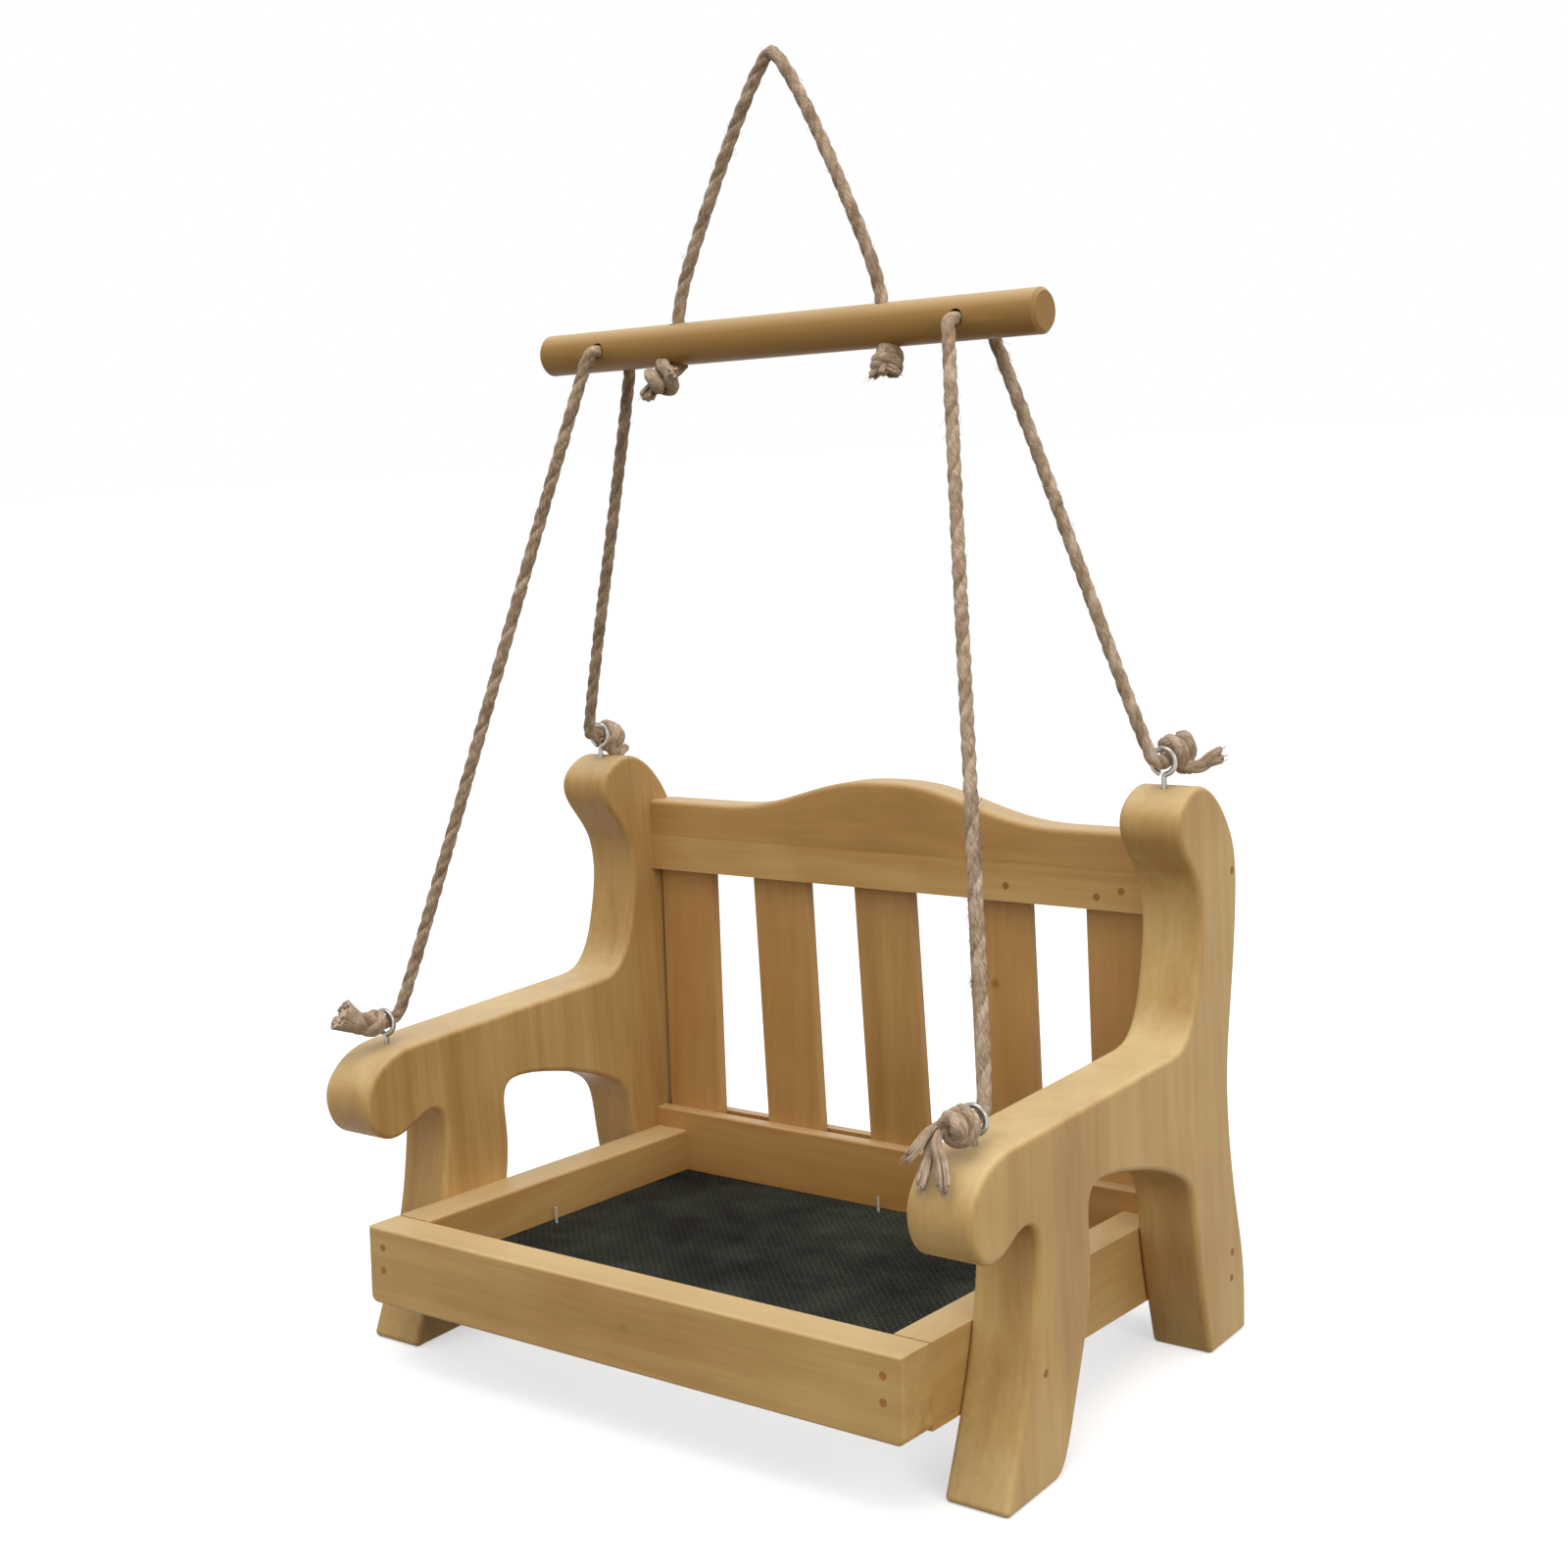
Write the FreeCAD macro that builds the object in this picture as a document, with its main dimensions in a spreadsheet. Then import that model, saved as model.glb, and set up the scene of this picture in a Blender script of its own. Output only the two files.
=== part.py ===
import FreeCAD, Part
import math
import os
import Sketcher

# Hanging bird feeder in the form of a small garden bench, in millimetres, +Z up.
# Two scroll-sawn side panels hold a tray of four rebated boards with a mesh floor
# and a back of five slats housed in two grooved rails. Two rope slings run from
# screw eyes through a round bar, and a third rope makes the loop that it hangs by.
# The feet stand on Z = 0, the seat looks along -Y and X = 0 is the middle.

Vector = FreeCAD.Vector
doc = FreeCAD.newDocument("hanging_bird_feeder")
sheet = doc.addObject("Spreadsheet::Sheet", "Sizes")

SIZES = [
    ("tray_width", 200, "length of the boards between the side panels"),
    ("panel_thickness", 20, "stock of the side panels"),
    ("board_thickness", 13.5, "stock of the front board, seat rail and crest"),
    ("side_rail_thickness", 12.5, "stock of the two side rails"),
    ("board_height", 24.2, "height of the tray boards"),
    ("seat_depth", 140, "front of the front board to the front of the seat rail"),
    ("seat_rail_rise", 7, "seat rail top above the tray boards"),
    ("seat_slope", 3.5, "fall of the tray to the rear in degrees"),
    ("tray_front", -79.2, "where the front board's top front edge lies along Y"),
    ("tray_level", 46.5, "height of that edge above the ground"),
    ("mesh_drop", 14.4, "mesh below the top of the tray boards"),
    ("mesh_thickness", 0.8, "woven mesh sheet"),
    ("mesh_gap", 3.6, "side of a square gap"),
    ("ridge_height", 0.3, "weave standing above the sheet"),
    ("ridge_width", 1.4, "width of a ridge"),
    ("rebate_width", 6, "rebate that the mesh lies in"),
    ("groove_depth", 8, "housing of the slat ends"),
    ("slat_thickness", 4, "back slats"),
    ("slat_width", 23, "back slats"),
    ("slat_play", 0.2, "groove wider than the slat"),
    ("slat_margin", 1.9, "between the outer slats and the side panels"),
    ("groove_wall", 4.6, "wood in front of the groove"),
    ("crest_lift", 93.9, "crest underside above the tray boards"),
    ("crest_height", 24.6, "crest at its shoulders"),
    ("crest_peak", 35.5, "crest at its middle"),
    ("hump_width", 136, "raised middle of the crest"),
    ("arm_level", 98, "top of the arms above the ground"),
    ("post_level", 174.2, "top of the rear scrolls above the ground"),
    ("arm_setback", 3.7, "arm scroll behind the tray's front edge"),
    ("post_overhang", 6.8, "rear post behind the seat rail"),
    ("panel_ease", 1.6, "rounded edge of the side panels"),
    ("board_ease", 0.9, "rounded edge of the boards"),
    ("crest_ease", 1.8, "rounded top edge of the crest"),
    ("corner_round", 2.5, "rounded lower corners of the front board"),
    ("bar_diameter", 13, "round bar"),
    ("bar_length", 186, "round bar"),
    ("bar_depth", 26, "where the bar's middle lies along Y"),
    ("bar_level", 311.2, "bar's middle above the ground"),
    ("bar_ease", 1, "chamfer at the bar's ends"),
    ("sling_spacing", 134.8, "between the two holes for the slings"),
    ("hanger_spacing", 78.4, "between the two holes for the top rope"),
    ("rope_diameter", 4.5, "three-strand jute rope"),
    ("rope_play", 0.4, "hole wider than the rope"),
    ("eye_front_inset", 19.5, "front screw eyes behind the arm scroll's front"),
    ("eye_rear_inset", 26.3, "rear screw eyes before the back of the post"),
    ("eye_opening", 5.9, "inside of a screw eye's ring"),
    ("eye_wire", 1.7, "wire of a screw eye"),
    ("eye_neck", 2.2, "neck between the wood and the ring"),
    ("eye_shank", 13, "threaded shank in the wood"),
    ("brad_diameter", 1.4, "shank of a brad"),
    ("brad_head", 2.4, "head of a brad"),
    ("brad_head_height", 0.6, "thickness of the head, set flush"),
    ("brad_length", 32, "brads of the tray and panels"),
    ("slat_brad_length", 8.2, "short brads that pin the slats"),
    ("staple_wire", 1, "staples under the mesh"),
    ("staple_width", 9, "outside width of a staple"),
    ("staple_leg", 5, "staple leg in the wood"),
    ("staple_inset", 3, "staple before the rebate's edge"),
    ("knot_diameter", 12.6, "overhand knot"),
]
for row, (alias, value, note) in enumerate(SIZES, 1):
    sheet.set("A%d" % row, note)
    sheet.set("B%d" % row, str(value))
    sheet.setAlias("B%d" % row, alias)
doc.recompute()
size = {alias: float(sheet.get(alias)) for alias, value, note in SIZES}

parts = []
HALF = size["tray_width"] / 2
OUTSIDE = HALF + size["panel_thickness"]
EYE_X = HALF + size["panel_thickness"] / 2
SLOPE = math.radians(size["seat_slope"])
TILT = FreeCAD.Placement(Vector(0, size["tray_front"], size["tray_level"]),
                         FreeCAD.Rotation(Vector(1, 0, 0), -size["seat_slope"]))
LEVEL = FreeCAD.Placement()


def new_body(name, placement=LEVEL):
    body = doc.addObject("PartDesign::Body", name)
    body.Label = name
    body.Placement = placement
    parts.append(body)
    return body


def new_sketch(body, name, role, offset=0.0):
    sketch = body.newObject("Sketcher::SketchObject", body.Name + "_" + name)
    for feature in body.Origin.OriginFeatures:
        if feature.Role == role:
            sketch.AttachmentSupport = [(feature, "")]
    sketch.MapMode = "FlatFace"
    sketch.AttachmentOffset = FreeCAD.Placement(Vector(0, 0, offset), FreeCAD.Rotation())
    return sketch


def bind(feature, **expressions):
    for name, expression in expressions.items():
        feature.setExpression(name, expression)


def line(sketch, start, end):
    sketch.addGeometry(Part.LineSegment(Vector(*start, 0), Vector(*end, 0)), False)


def curve(sketch, poles):
    """A B-spline by control points: it starts and ends on the first and last of them."""
    spline = Part.BSplineCurve()
    spans = len(poles) - 3
    spline.buildFromPolesMultsKnots([Vector(*pole, 0) for pole in poles],
                                    [4] + [1] * (spans - 1) + [4], list(range(spans + 1)),
                                    False, 3)
    sketch.addGeometry(spline, False)


def polygon(sketch, corners):
    for start, end in zip(corners, corners[1:] + corners[:1]):
        line(sketch, start, end)


def rectangle(sketch, left, right, bottom, top):
    """A rectangle whose four sides are set by expressions from the sketch's origin."""
    first = sketch.GeometryCount
    polygon(sketch, [(0, 0), (10, 0), (10, 10), (0, 10)])
    for side in range(4):
        after = first + (side + 1) % 4
        sketch.addConstraint(Sketcher.Constraint("Coincident", first + side, 2, after, 1))
    for side in (0, 2):
        sketch.addConstraint(Sketcher.Constraint("Horizontal", first + side))
        sketch.addConstraint(Sketcher.Constraint("Vertical", first + side + 1))
    for kind, corner, start, expression in (
            ("DistanceX", first, 0, left), ("DistanceX", first + 2, 10, right),
            ("DistanceY", first, 0, bottom), ("DistanceY", first + 2, 10, top)):
        number = sketch.addConstraint(Sketcher.Constraint(kind, -1, 1, corner, 1, start))
        sketch.setExpression("Constraints[%d]" % number, expression)


def circle(sketch, x, y, diameter):
    """A circle at a chosen spot whose diameter is an expression."""
    spot = sketch.addGeometry(Part.Circle(Vector(x, y, 0), Vector(0, 0, 1), 1), False)
    sketch.addConstraint(Sketcher.Constraint("DistanceX", -1, 1, spot, 3, x))
    sketch.addConstraint(Sketcher.Constraint("DistanceY", -1, 1, spot, 3, y))
    number = sketch.addConstraint(Sketcher.Constraint("Diameter", spot, 2.0))
    sketch.setExpression("Constraints[%d]" % number, diameter)


def pad(body, sketch, length, back=False, name="Pad"):
    feature = body.newObject("PartDesign::Pad", body.Name + "_" + name)
    feature.Profile = sketch
    feature.Reversed = back
    bind(feature, Length=length)
    doc.recompute()
    return feature


def pocket(body, sketch, length, back=False, name="Pocket"):
    before = body.Shape.Volume
    feature = body.newObject("PartDesign::Pocket", body.Name + "_" + name)
    feature.Profile = sketch
    feature.Reversed = back
    bind(feature, Length=length)
    doc.recompute()
    if body.Shape.Volume > before - 1e-3:
        raise RuntimeError(feature.Name + " cuts nothing")
    return feature


def drill(body, name, role, level, spots, diameter, depth, back=False):
    sketch = new_sketch(body, name, role, level)
    for x, y in spots:
        circle(sketch, x, y, diameter)
    return pocket(body, sketch, depth, back, name + "_holes")


def ease(body, base, edges, radius, name="Ease"):
    feature = body.newObject("PartDesign::Fillet", body.Name + "_" + name)
    feature.Base = (base, edges)
    bind(feature, Radius=radius)
    doc.recompute()
    if "Invalid" in feature.State:
        raise RuntimeError(feature.Name + " can't be rounded")
    return feature


def edges_where(shape, test):
    """The names of the edges whose middle and both ends pass the test."""
    names = []
    for number, edge in enumerate(shape.Edges, 1):
        middle = edge.valueAt((edge.FirstParameter + edge.LastParameter) / 2)
        if all(test(spot) for spot in [middle] + [v.Point for v in edge.Vertexes]):
            names.append("Edge%d" % number)
    return names


def near(a, b):
    return abs(a - b) < 1e-4


def tray_spot(y, z):
    """A (Y, Z) of the sloping tray's own frame, seen from the level panels."""
    spot = TILT.multVec(Vector(0, y, z))
    return spot.y, spot.z


# Positions that several pieces share, in the tray's own frame.
BOARD_BOTTOM = -size["board_height"]
SEAT_BACK = size["seat_depth"] + size["board_thickness"]
MESH_UNDER = -size["mesh_drop"] - size["mesh_thickness"]
GROOVE_FRONT = size["seat_depth"] + size["groove_wall"]
GROOVE_FLOOR = size["seat_rail_rise"] - size["groove_depth"]
CREST_GROOVE = size["crest_lift"] + size["groove_depth"]
RAIL_MIDDLE = HALF - size["side_rail_thickness"] / 2
SLAT_PITCH = (HALF - size["slat_margin"] - size["slat_width"] / 2) / 2
# The panel's outline was drawn for a seat of this depth, and stretches with another one
DRAWN_DEPTH = 140
PANEL_FRONT = size["tray_front"] + size["arm_setback"]
PANEL_BACK = tray_spot(SEAT_BACK, 0)[0] + size["post_overhang"]
STRETCH = size["seat_depth"] / DRAWN_DEPTH
EYE_FRONT = PANEL_FRONT + size["eye_front_inset"]
EYE_REAR = PANEL_BACK - size["eye_rear_inset"]
MESH_HALF = HALF - size["side_rail_thickness"] + size["rebate_width"]
MESH_FRONT = size["board_thickness"] - size["rebate_width"]
MESH_BACK = size["seat_depth"] + size["rebate_width"]

# Brads: two through the front board into each side rail, and from each panel one
# into the side rail, two into the seat rail and one into the crest.
FRONT_BRADS = [(side * RAIL_MIDDLE, z) for side in (-1, 1) for z in (-6.0, -13.2)]
PANEL_BRADS = [(38.0, -12.0), (SEAT_BACK - 3.0, -10.0), (SEAT_BACK - 3.6, -18.0),
               (SEAT_BACK - 3.6, size["crest_lift"] + 14.0)]

# Back slats, hand-set: each is a little off its even place and leans by its own angle.
SLATS = [(-2, -0.6, 1.0), (-1, -1.0, 2.9), (0, -1.2, 3.4), (1, -0.5, 2.3), (2, -0.6, 1.8)]
SLAT_MIDDLES = [SLAT_PITCH * place + nudge for place, nudge, lean in SLATS]
SLAT_BRADS = [(SLAT_MIDDLES[4] - 6.5, 4.0), (SLAT_MIDDLES[4] + 2.0, 6.4),
              (SLAT_MIDDLES[3] + 4.2, 5.0)]

# Staples hold the mesh up in the rebate. Two of them missed with one leg, which
# stands up through the mesh beside the board.
LEG_SPREAD = (size["staple_width"] - size["staple_wire"]) / 2
NEAR = MESH_FRONT + size["staple_inset"]
FAR = MESH_BACK - size["staple_inset"]
BESIDE = MESH_HALF - size["staple_inset"]
ALONG_X, ALONG_Y = (1, 0), (0, 1)
STAPLES = [(HALF * share, NEAR, ALONG_X) for share in (-0.6, 0.0, 0.6)]
STAPLES += [(HALF * share, FAR, ALONG_X) for share in (-0.6, 0.6)]
STAPLES += [(side * BESIDE, size["seat_depth"] * share, ALONG_Y)
            for side in (-1, 1) for share in (0.2, 0.8)]
STAPLES += [(-BESIDE + 1.7, size["seat_depth"] * 0.49, ALONG_X),
            (-2.0, FAR - 2.0, ALONG_Y)]


def staple_legs():
    spots = []
    for x, y, (dx, dy) in STAPLES:
        spots += [(x + dx * reach, y + dy * reach) for reach in (-LEG_SPREAD, LEG_SPREAD)]
    return spots


def legs_within(x0, x1, y0, y1):
    return [(x, y) for x, y in staple_legs() if x0 < x < x1 and y0 < y < y1]


# Side panels: one outline in the YZ plane, its front part set from the arm scroll
# and its rear part from the back of the post.
def front(y, z):
    return PANEL_FRONT + y * STRETCH, z


def rear(y, z):
    return PANEL_BACK - y * STRETCH, z


def arm(y, drop):
    return PANEL_FRONT + y * STRETCH, size["arm_level"] - drop


def post(y, drop):
    return PANEL_BACK - y * STRETCH, size["post_level"] - drop


def panel_outline(sketch):
    arch = [front(36.6, 0), front(40.6, 0), front(45, 7), front(49, 17.3),
            front(56.3, 34.6), front(59.3, 45), front(60.7, 56), arm(60, 32),
            arm(60.3, 26), arm(63.4, 22.8), arm(70.7, 23), rear(77.5, 73.6),
            rear(60.5, 69), rear(50.5, 65), rear(42.5, 61), rear(37.6, 57.6),
            rear(34.8, 52.6), rear(33.8, 45), rear(32.8, 33), rear(30.2, 18), rear(26, 0)]
    back = [rear(2.5, 0), rear(1.3, 15), rear(2.6, 28), rear(7, 46), rear(9.7, 67.5),
            rear(9.8, 83), rear(8.2, 95), rear(2.6, 120), post(0.2, 35), post(0.1, 26),
            post(2.2, 17.5), post(9.5, 7.2), post(16.5, 2), post(23, 0), post(30, 1.9),
            post(35.6, 5.6), post(37.4, 10.5), post(35.8, 16), post(28.8, 24.7),
            post(25.4, 30.6), post(24.2, 38), rear(24.4, 128), rear(28, 114),
            rear(31.4, 105.5), arm(119, -0.7), arm(113, 0), arm(107, 0)]
    scroll = [arm(22, 0), arm(18, 0), arm(12, 1.2), arm(6.2, 4.4), arm(1.4, 9.3), arm(0, 15),
              arm(1.6, 21.8), arm(5.4, 26.4), arm(10.6, 28.2), arm(17, 27.1),
              arm(23.4, 23.5), arm(28, 22.9), arm(31.6, 24.6), arm(33.2, 29),
              arm(32.6, 35), front(30.2, 50), front(27.4, 38), front(21, 21), front(11, 0)]
    line(sketch, scroll[-1], arch[0])
    curve(sketch, arch)
    line(sketch, arch[-1], back[0])
    curve(sketch, back)
    line(sketch, back[-1], scroll[0])
    curve(sketch, scroll)


def make_panel(name, side):
    body = new_body(name)
    inner = side * HALF
    outline = new_sketch(body, "Outline", "YZ_Plane", inner)
    panel_outline(outline)
    board = pad(body, outline, "Sizes.panel_thickness", back=side < 0)
    faces = (inner, side * OUTSIDE)
    toes = (front(11, 0)[0], rear(26, 0)[0], rear(2.5, 0)[0])
    rims = [name for face in faces
            for name in edges_where(board.Shape, lambda spot: near(spot.x, face))]
    rims += [name for toe in toes
             for name in edges_where(board.Shape, lambda spot: near(spot.y, toe) and near(spot.z, 0))]
    ease(body, board, rims, "Sizes.panel_ease")
    drill(body, "Brads", "YZ_Plane", side * OUTSIDE, [tray_spot(*spot) for spot in PANEL_BRADS],
          "Sizes.brad_diameter", "Sizes.panel_thickness + 1", back=side < 0)
    drill(body, "Heads", "YZ_Plane", side * OUTSIDE, [tray_spot(*spot) for spot in PANEL_BRADS],
          "Sizes.brad_head", "Sizes.brad_head_height", back=side < 0)
    for place, along, level in (("FrontEye", EYE_FRONT, size["arm_level"]),
                                ("RearEye", EYE_REAR, size["post_level"])):
        drill(body, place, "XY_Plane", level + 1, [(side * EYE_X, along)],
              "Sizes.eye_wire", "Sizes.eye_shank + 1")
    return body


make_panel("left_side_panel", -1)
make_panel("right_side_panel", 1)


# Tray: the front board covers the ends of the side rails, which run back to the seat
# rail. A rebate on the lower inside edge of all four holds the mesh.
def make_front_board():
    body = new_body("tray_front_board", TILT)
    outline = new_sketch(body, "Outline", "XZ_Plane")
    rectangle(outline, "-Sizes.tray_width / 2", "Sizes.tray_width / 2",
              "-Sizes.board_height", "0 mm")
    board = pad(body, outline, "Sizes.board_thickness", back=True)
    corners = edges_where(board.Shape, lambda spot: near(spot.z, BOARD_BOTTOM)
                          and near(abs(spot.x), HALF))
    board = ease(body, board, corners, "Sizes.corner_round", "Corners")
    rims = edges_where(board.Shape, lambda spot: near(spot.y, 0))
    rims += edges_where(board.Shape, lambda spot: near(spot.z, 0)
                        and near(spot.y, size["board_thickness"]))
    ease(body, board, rims, "Sizes.board_ease")
    step = new_sketch(body, "Rebate", "XY_Plane", BOARD_BOTTOM)
    rectangle(step, "-Sizes.tray_width / 2 + Sizes.side_rail_thickness - Sizes.rebate_width",
              "Sizes.tray_width / 2 - Sizes.side_rail_thickness + Sizes.rebate_width",
              "Sizes.board_thickness - Sizes.rebate_width", "Sizes.board_thickness + 1")
    pocket(body, step, "Sizes.board_height - Sizes.mesh_drop", back=True, name="Rebate_cut")
    drill(body, "Brads", "XZ_Plane", 0.0, FRONT_BRADS,
          "Sizes.brad_diameter", "Sizes.board_thickness + 1")
    drill(body, "Heads", "XZ_Plane", 0.0, FRONT_BRADS, "Sizes.brad_head", "Sizes.brad_head_height")
    drill(body, "Staples", "XY_Plane", -size["mesh_drop"],
          legs_within(-HALF, HALF, 0, size["board_thickness"]),
          "Sizes.staple_wire", "Sizes.staple_leg", back=True)


def make_side_rail(name, side):
    body = new_body(name, TILT)
    outline = new_sketch(body, "Outline", "XY_Plane")
    inside, outside = "Sizes.tray_width / 2 - Sizes.side_rail_thickness", "Sizes.tray_width / 2"
    if side < 0:
        inside, outside = "-(%s)" % outside, "-(%s)" % inside
    rectangle(outline, inside, outside, "Sizes.board_thickness", "Sizes.seat_depth")
    board = pad(body, outline, "Sizes.board_height", back=True)
    inner = side * (HALF - size["side_rail_thickness"])
    top = edges_where(board.Shape, lambda spot: near(spot.z, 0) and near(spot.x, inner))
    ease(body, board, top, "Sizes.board_ease")
    step = new_sketch(body, "Rebate", "XY_Plane", BOARD_BOTTOM)
    reach = ["Sizes.tray_width / 2 - Sizes.side_rail_thickness - 1",
             "Sizes.tray_width / 2 - Sizes.side_rail_thickness + Sizes.rebate_width"]
    if side < 0:
        reach = ["-(%s)" % reach[1], "-(%s)" % reach[0]]
    rectangle(step, reach[0], reach[1], "Sizes.board_thickness - 1", "Sizes.seat_depth + 1")
    pocket(body, step, "Sizes.board_height - Sizes.mesh_drop", back=True, name="Rebate_cut")
    ends = [(x, z) for x, z in FRONT_BRADS if x * side > 0]
    drill(body, "Brads", "XZ_Plane", -size["board_thickness"], ends, "Sizes.brad_diameter",
          "Sizes.brad_length - Sizes.board_thickness")
    drill(body, "PanelBrad", "YZ_Plane", side * HALF, PANEL_BRADS[:1], "Sizes.brad_diameter",
          "Sizes.side_rail_thickness + 1", back=side < 0)
    drill(body, "Staples", "XY_Plane", -size["mesh_drop"],
          legs_within(min(side * HALF, inner), max(side * HALF, inner),
                      size["board_thickness"], size["seat_depth"]),
          "Sizes.staple_wire", "Sizes.staple_leg", back=True)


def grooved_rail(body, board, level, up):
    """A groove along the middle of a rail for the slat ends."""
    groove = new_sketch(body, "Groove", "XY_Plane", level)
    rectangle(groove, "-Sizes.tray_width / 2 - 1", "Sizes.tray_width / 2 + 1",
              "Sizes.seat_depth + Sizes.groove_wall",
              "Sizes.seat_depth + Sizes.groove_wall + Sizes.slat_thickness + Sizes.slat_play")
    return pocket(body, groove, "Sizes.groove_depth", back=up, name="Groove_cut")


def end_holes(body, spots):
    for side in (-1, 1):
        drill(body, "End%d" % (side > 0), "YZ_Plane", side * HALF, spots,
              "Sizes.brad_diameter", "Sizes.brad_length - Sizes.panel_thickness", back=side < 0)


def make_seat_rail():
    body = new_body("seat_back_rail", TILT)
    outline = new_sketch(body, "Outline", "XZ_Plane", -size["seat_depth"])
    rectangle(outline, "-Sizes.tray_width / 2", "Sizes.tray_width / 2",
              "-Sizes.board_height", "Sizes.seat_rail_rise")
    board = pad(body, outline, "Sizes.board_thickness", back=True)
    top = edges_where(board.Shape, lambda spot: near(spot.z, size["seat_rail_rise"])
                      and (near(spot.y, size["seat_depth"]) or near(spot.y, SEAT_BACK)))
    ease(body, board, top, "Sizes.board_ease")
    grooved_rail(body, board, size["seat_rail_rise"], up=False)
    step = new_sketch(body, "Rebate", "XY_Plane", BOARD_BOTTOM)
    rectangle(step, "-Sizes.tray_width / 2 + Sizes.side_rail_thickness - Sizes.rebate_width",
              "Sizes.tray_width / 2 - Sizes.side_rail_thickness + Sizes.rebate_width",
              "Sizes.seat_depth - 1", "Sizes.seat_depth + Sizes.rebate_width")
    pocket(body, step, "Sizes.board_height - Sizes.mesh_drop", back=True, name="Rebate_cut")
    end_holes(body, PANEL_BRADS[1:3])
    drill(body, "Staples", "XY_Plane", -size["mesh_drop"],
          legs_within(-HALF, HALF, size["seat_depth"], MESH_BACK),
          "Sizes.staple_wire", "Sizes.staple_leg", back=True)


def make_crest():
    body = new_body("crest_rail", TILT)
    outline = new_sketch(body, "Outline", "XZ_Plane", -size["seat_depth"])
    base = size["crest_lift"]
    shoulder = base + size["crest_height"]
    peak = base + size["crest_peak"]
    rise = peak - shoulder
    reach = size["hump_width"] / 2
    crown = [(-reach, shoulder), (-0.85 * reach, shoulder), (-0.65 * reach, shoulder + 0.2 * rise),
             (-0.41 * reach, shoulder + 0.7 * rise), (-0.2 * reach, peak),
             (0, peak + 0.03 * rise)]
    hump = crown + [(-x, z) for x, z in crown[-2::-1]]
    line(outline, (-HALF, base), (HALF, base))
    line(outline, (HALF, base), (HALF, shoulder))
    line(outline, (HALF, shoulder), hump[-1])
    curve(outline, hump[::-1])
    line(outline, hump[0], (-HALF, shoulder))
    line(outline, (-HALF, shoulder), (-HALF, base))
    board = pad(body, outline, "Sizes.board_thickness", back=True)
    top = edges_where(board.Shape, lambda spot: spot.z > shoulder - 1e-3
                      and (near(spot.y, size["seat_depth"]) or near(spot.y, SEAT_BACK)))
    ease(body, board, top, "Sizes.crest_ease")
    grooved_rail(body, board, base, up=True)
    end_holes(body, PANEL_BRADS[3:])
    spots = [(x, base + lift) for x, lift in SLAT_BRADS]
    drill(body, "Brads", "XZ_Plane", -size["seat_depth"], spots, "Sizes.brad_diameter",
          "Sizes.slat_brad_length")
    drill(body, "Heads", "XZ_Plane", -size["seat_depth"], spots, "Sizes.brad_head",
          "Sizes.brad_head_height")


make_front_board()
make_side_rail("tray_left_rail", -1)
make_side_rail("tray_right_rail", 1)
make_seat_rail()
make_crest()

# The slats' ends are cut level. They stand on the groove's floor in the seat rail and
# stop a little short of the crest's groove floor.
for number, (place, nudge, lean) in enumerate(SLATS, 1):
    middle = SLAT_MIDDLES[number - 1]
    body = new_body("back_slat_%d" % number, TILT)
    outline = new_sketch(body, "Outline", "XZ_Plane", -GROOVE_FRONT)
    top = CREST_GROOVE - 0.5
    half_rise = (top - GROOVE_FLOOR) / 2
    shift = half_rise * math.tan(math.radians(lean))
    half_width = size["slat_width"] / 2
    polygon(outline, [(middle + shift - half_width, GROOVE_FLOOR),
                      (middle + shift + half_width, GROOVE_FLOOR),
                      (middle - shift + half_width, top),
                      (middle - shift - half_width, top)])
    board = pad(body, outline, "Sizes.slat_thickness", back=True)
    corners = edges_where(board.Shape, lambda spot: True)
    sides = [name for name in corners
             if abs(board.Shape.getElement(name).Length - 2 * half_rise
                    / math.cos(math.radians(lean))) < 1e-3]
    eased = body.newObject("PartDesign::Fillet", body.Name + "_Ease")
    eased.Base = (board, sides)
    eased.Radius = 0.5
    doc.recompute()
    pinned = [(x, size["crest_lift"] + lift) for x, lift in SLAT_BRADS
              if abs(x - middle) < half_width]
    if pinned:
        drill(body, "Brads", "XZ_Plane", -GROOVE_FRONT, pinned, "Sizes.brad_diameter",
              "Sizes.slat_brad_length - Sizes.groove_wall")

# Mesh floor: one thin wall with square gaps between crossing ridges.
COLUMNS, ROWS = 12, 10
body = new_body("mesh_floor", TILT)
outline = new_sketch(body, "Outline", "XY_Plane", MESH_UNDER)
rectangle(outline, "-Sizes.tray_width / 2 + Sizes.side_rail_thickness - Sizes.rebate_width",
          "Sizes.tray_width / 2 - Sizes.side_rail_thickness + Sizes.rebate_width",
          "Sizes.board_thickness - Sizes.rebate_width", "Sizes.seat_depth + Sizes.rebate_width")
pad(body, outline, "Sizes.mesh_thickness")
INNER_HALF = HALF - size["side_rail_thickness"] - 0.3
INNER_FRONT = size["board_thickness"] + 0.3
INNER_BACK = size["seat_depth"] - 0.3
step_x = 2 * INNER_HALF / COLUMNS
step_y = (INNER_BACK - INNER_FRONT) / ROWS
gap = size["mesh_gap"] / 2
gaps = new_sketch(body, "Gaps", "XY_Plane", -size["mesh_drop"])
for column in range(COLUMNS):
    for line_number in range(ROWS):
        x = -INNER_HALF + (column + 0.5) * step_x
        y = INNER_FRONT + (line_number + 0.5) * step_y
        polygon(gaps, [(x - gap, y - gap), (x + gap, y - gap), (x + gap, y + gap), (x - gap, y + gap)])
pocket(body, gaps, "Sizes.mesh_thickness + 1", name="Gap_cut")
ridge = size["ridge_width"] / 2
ribs = new_sketch(body, "Ribs", "XY_Plane", -size["mesh_drop"])
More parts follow.
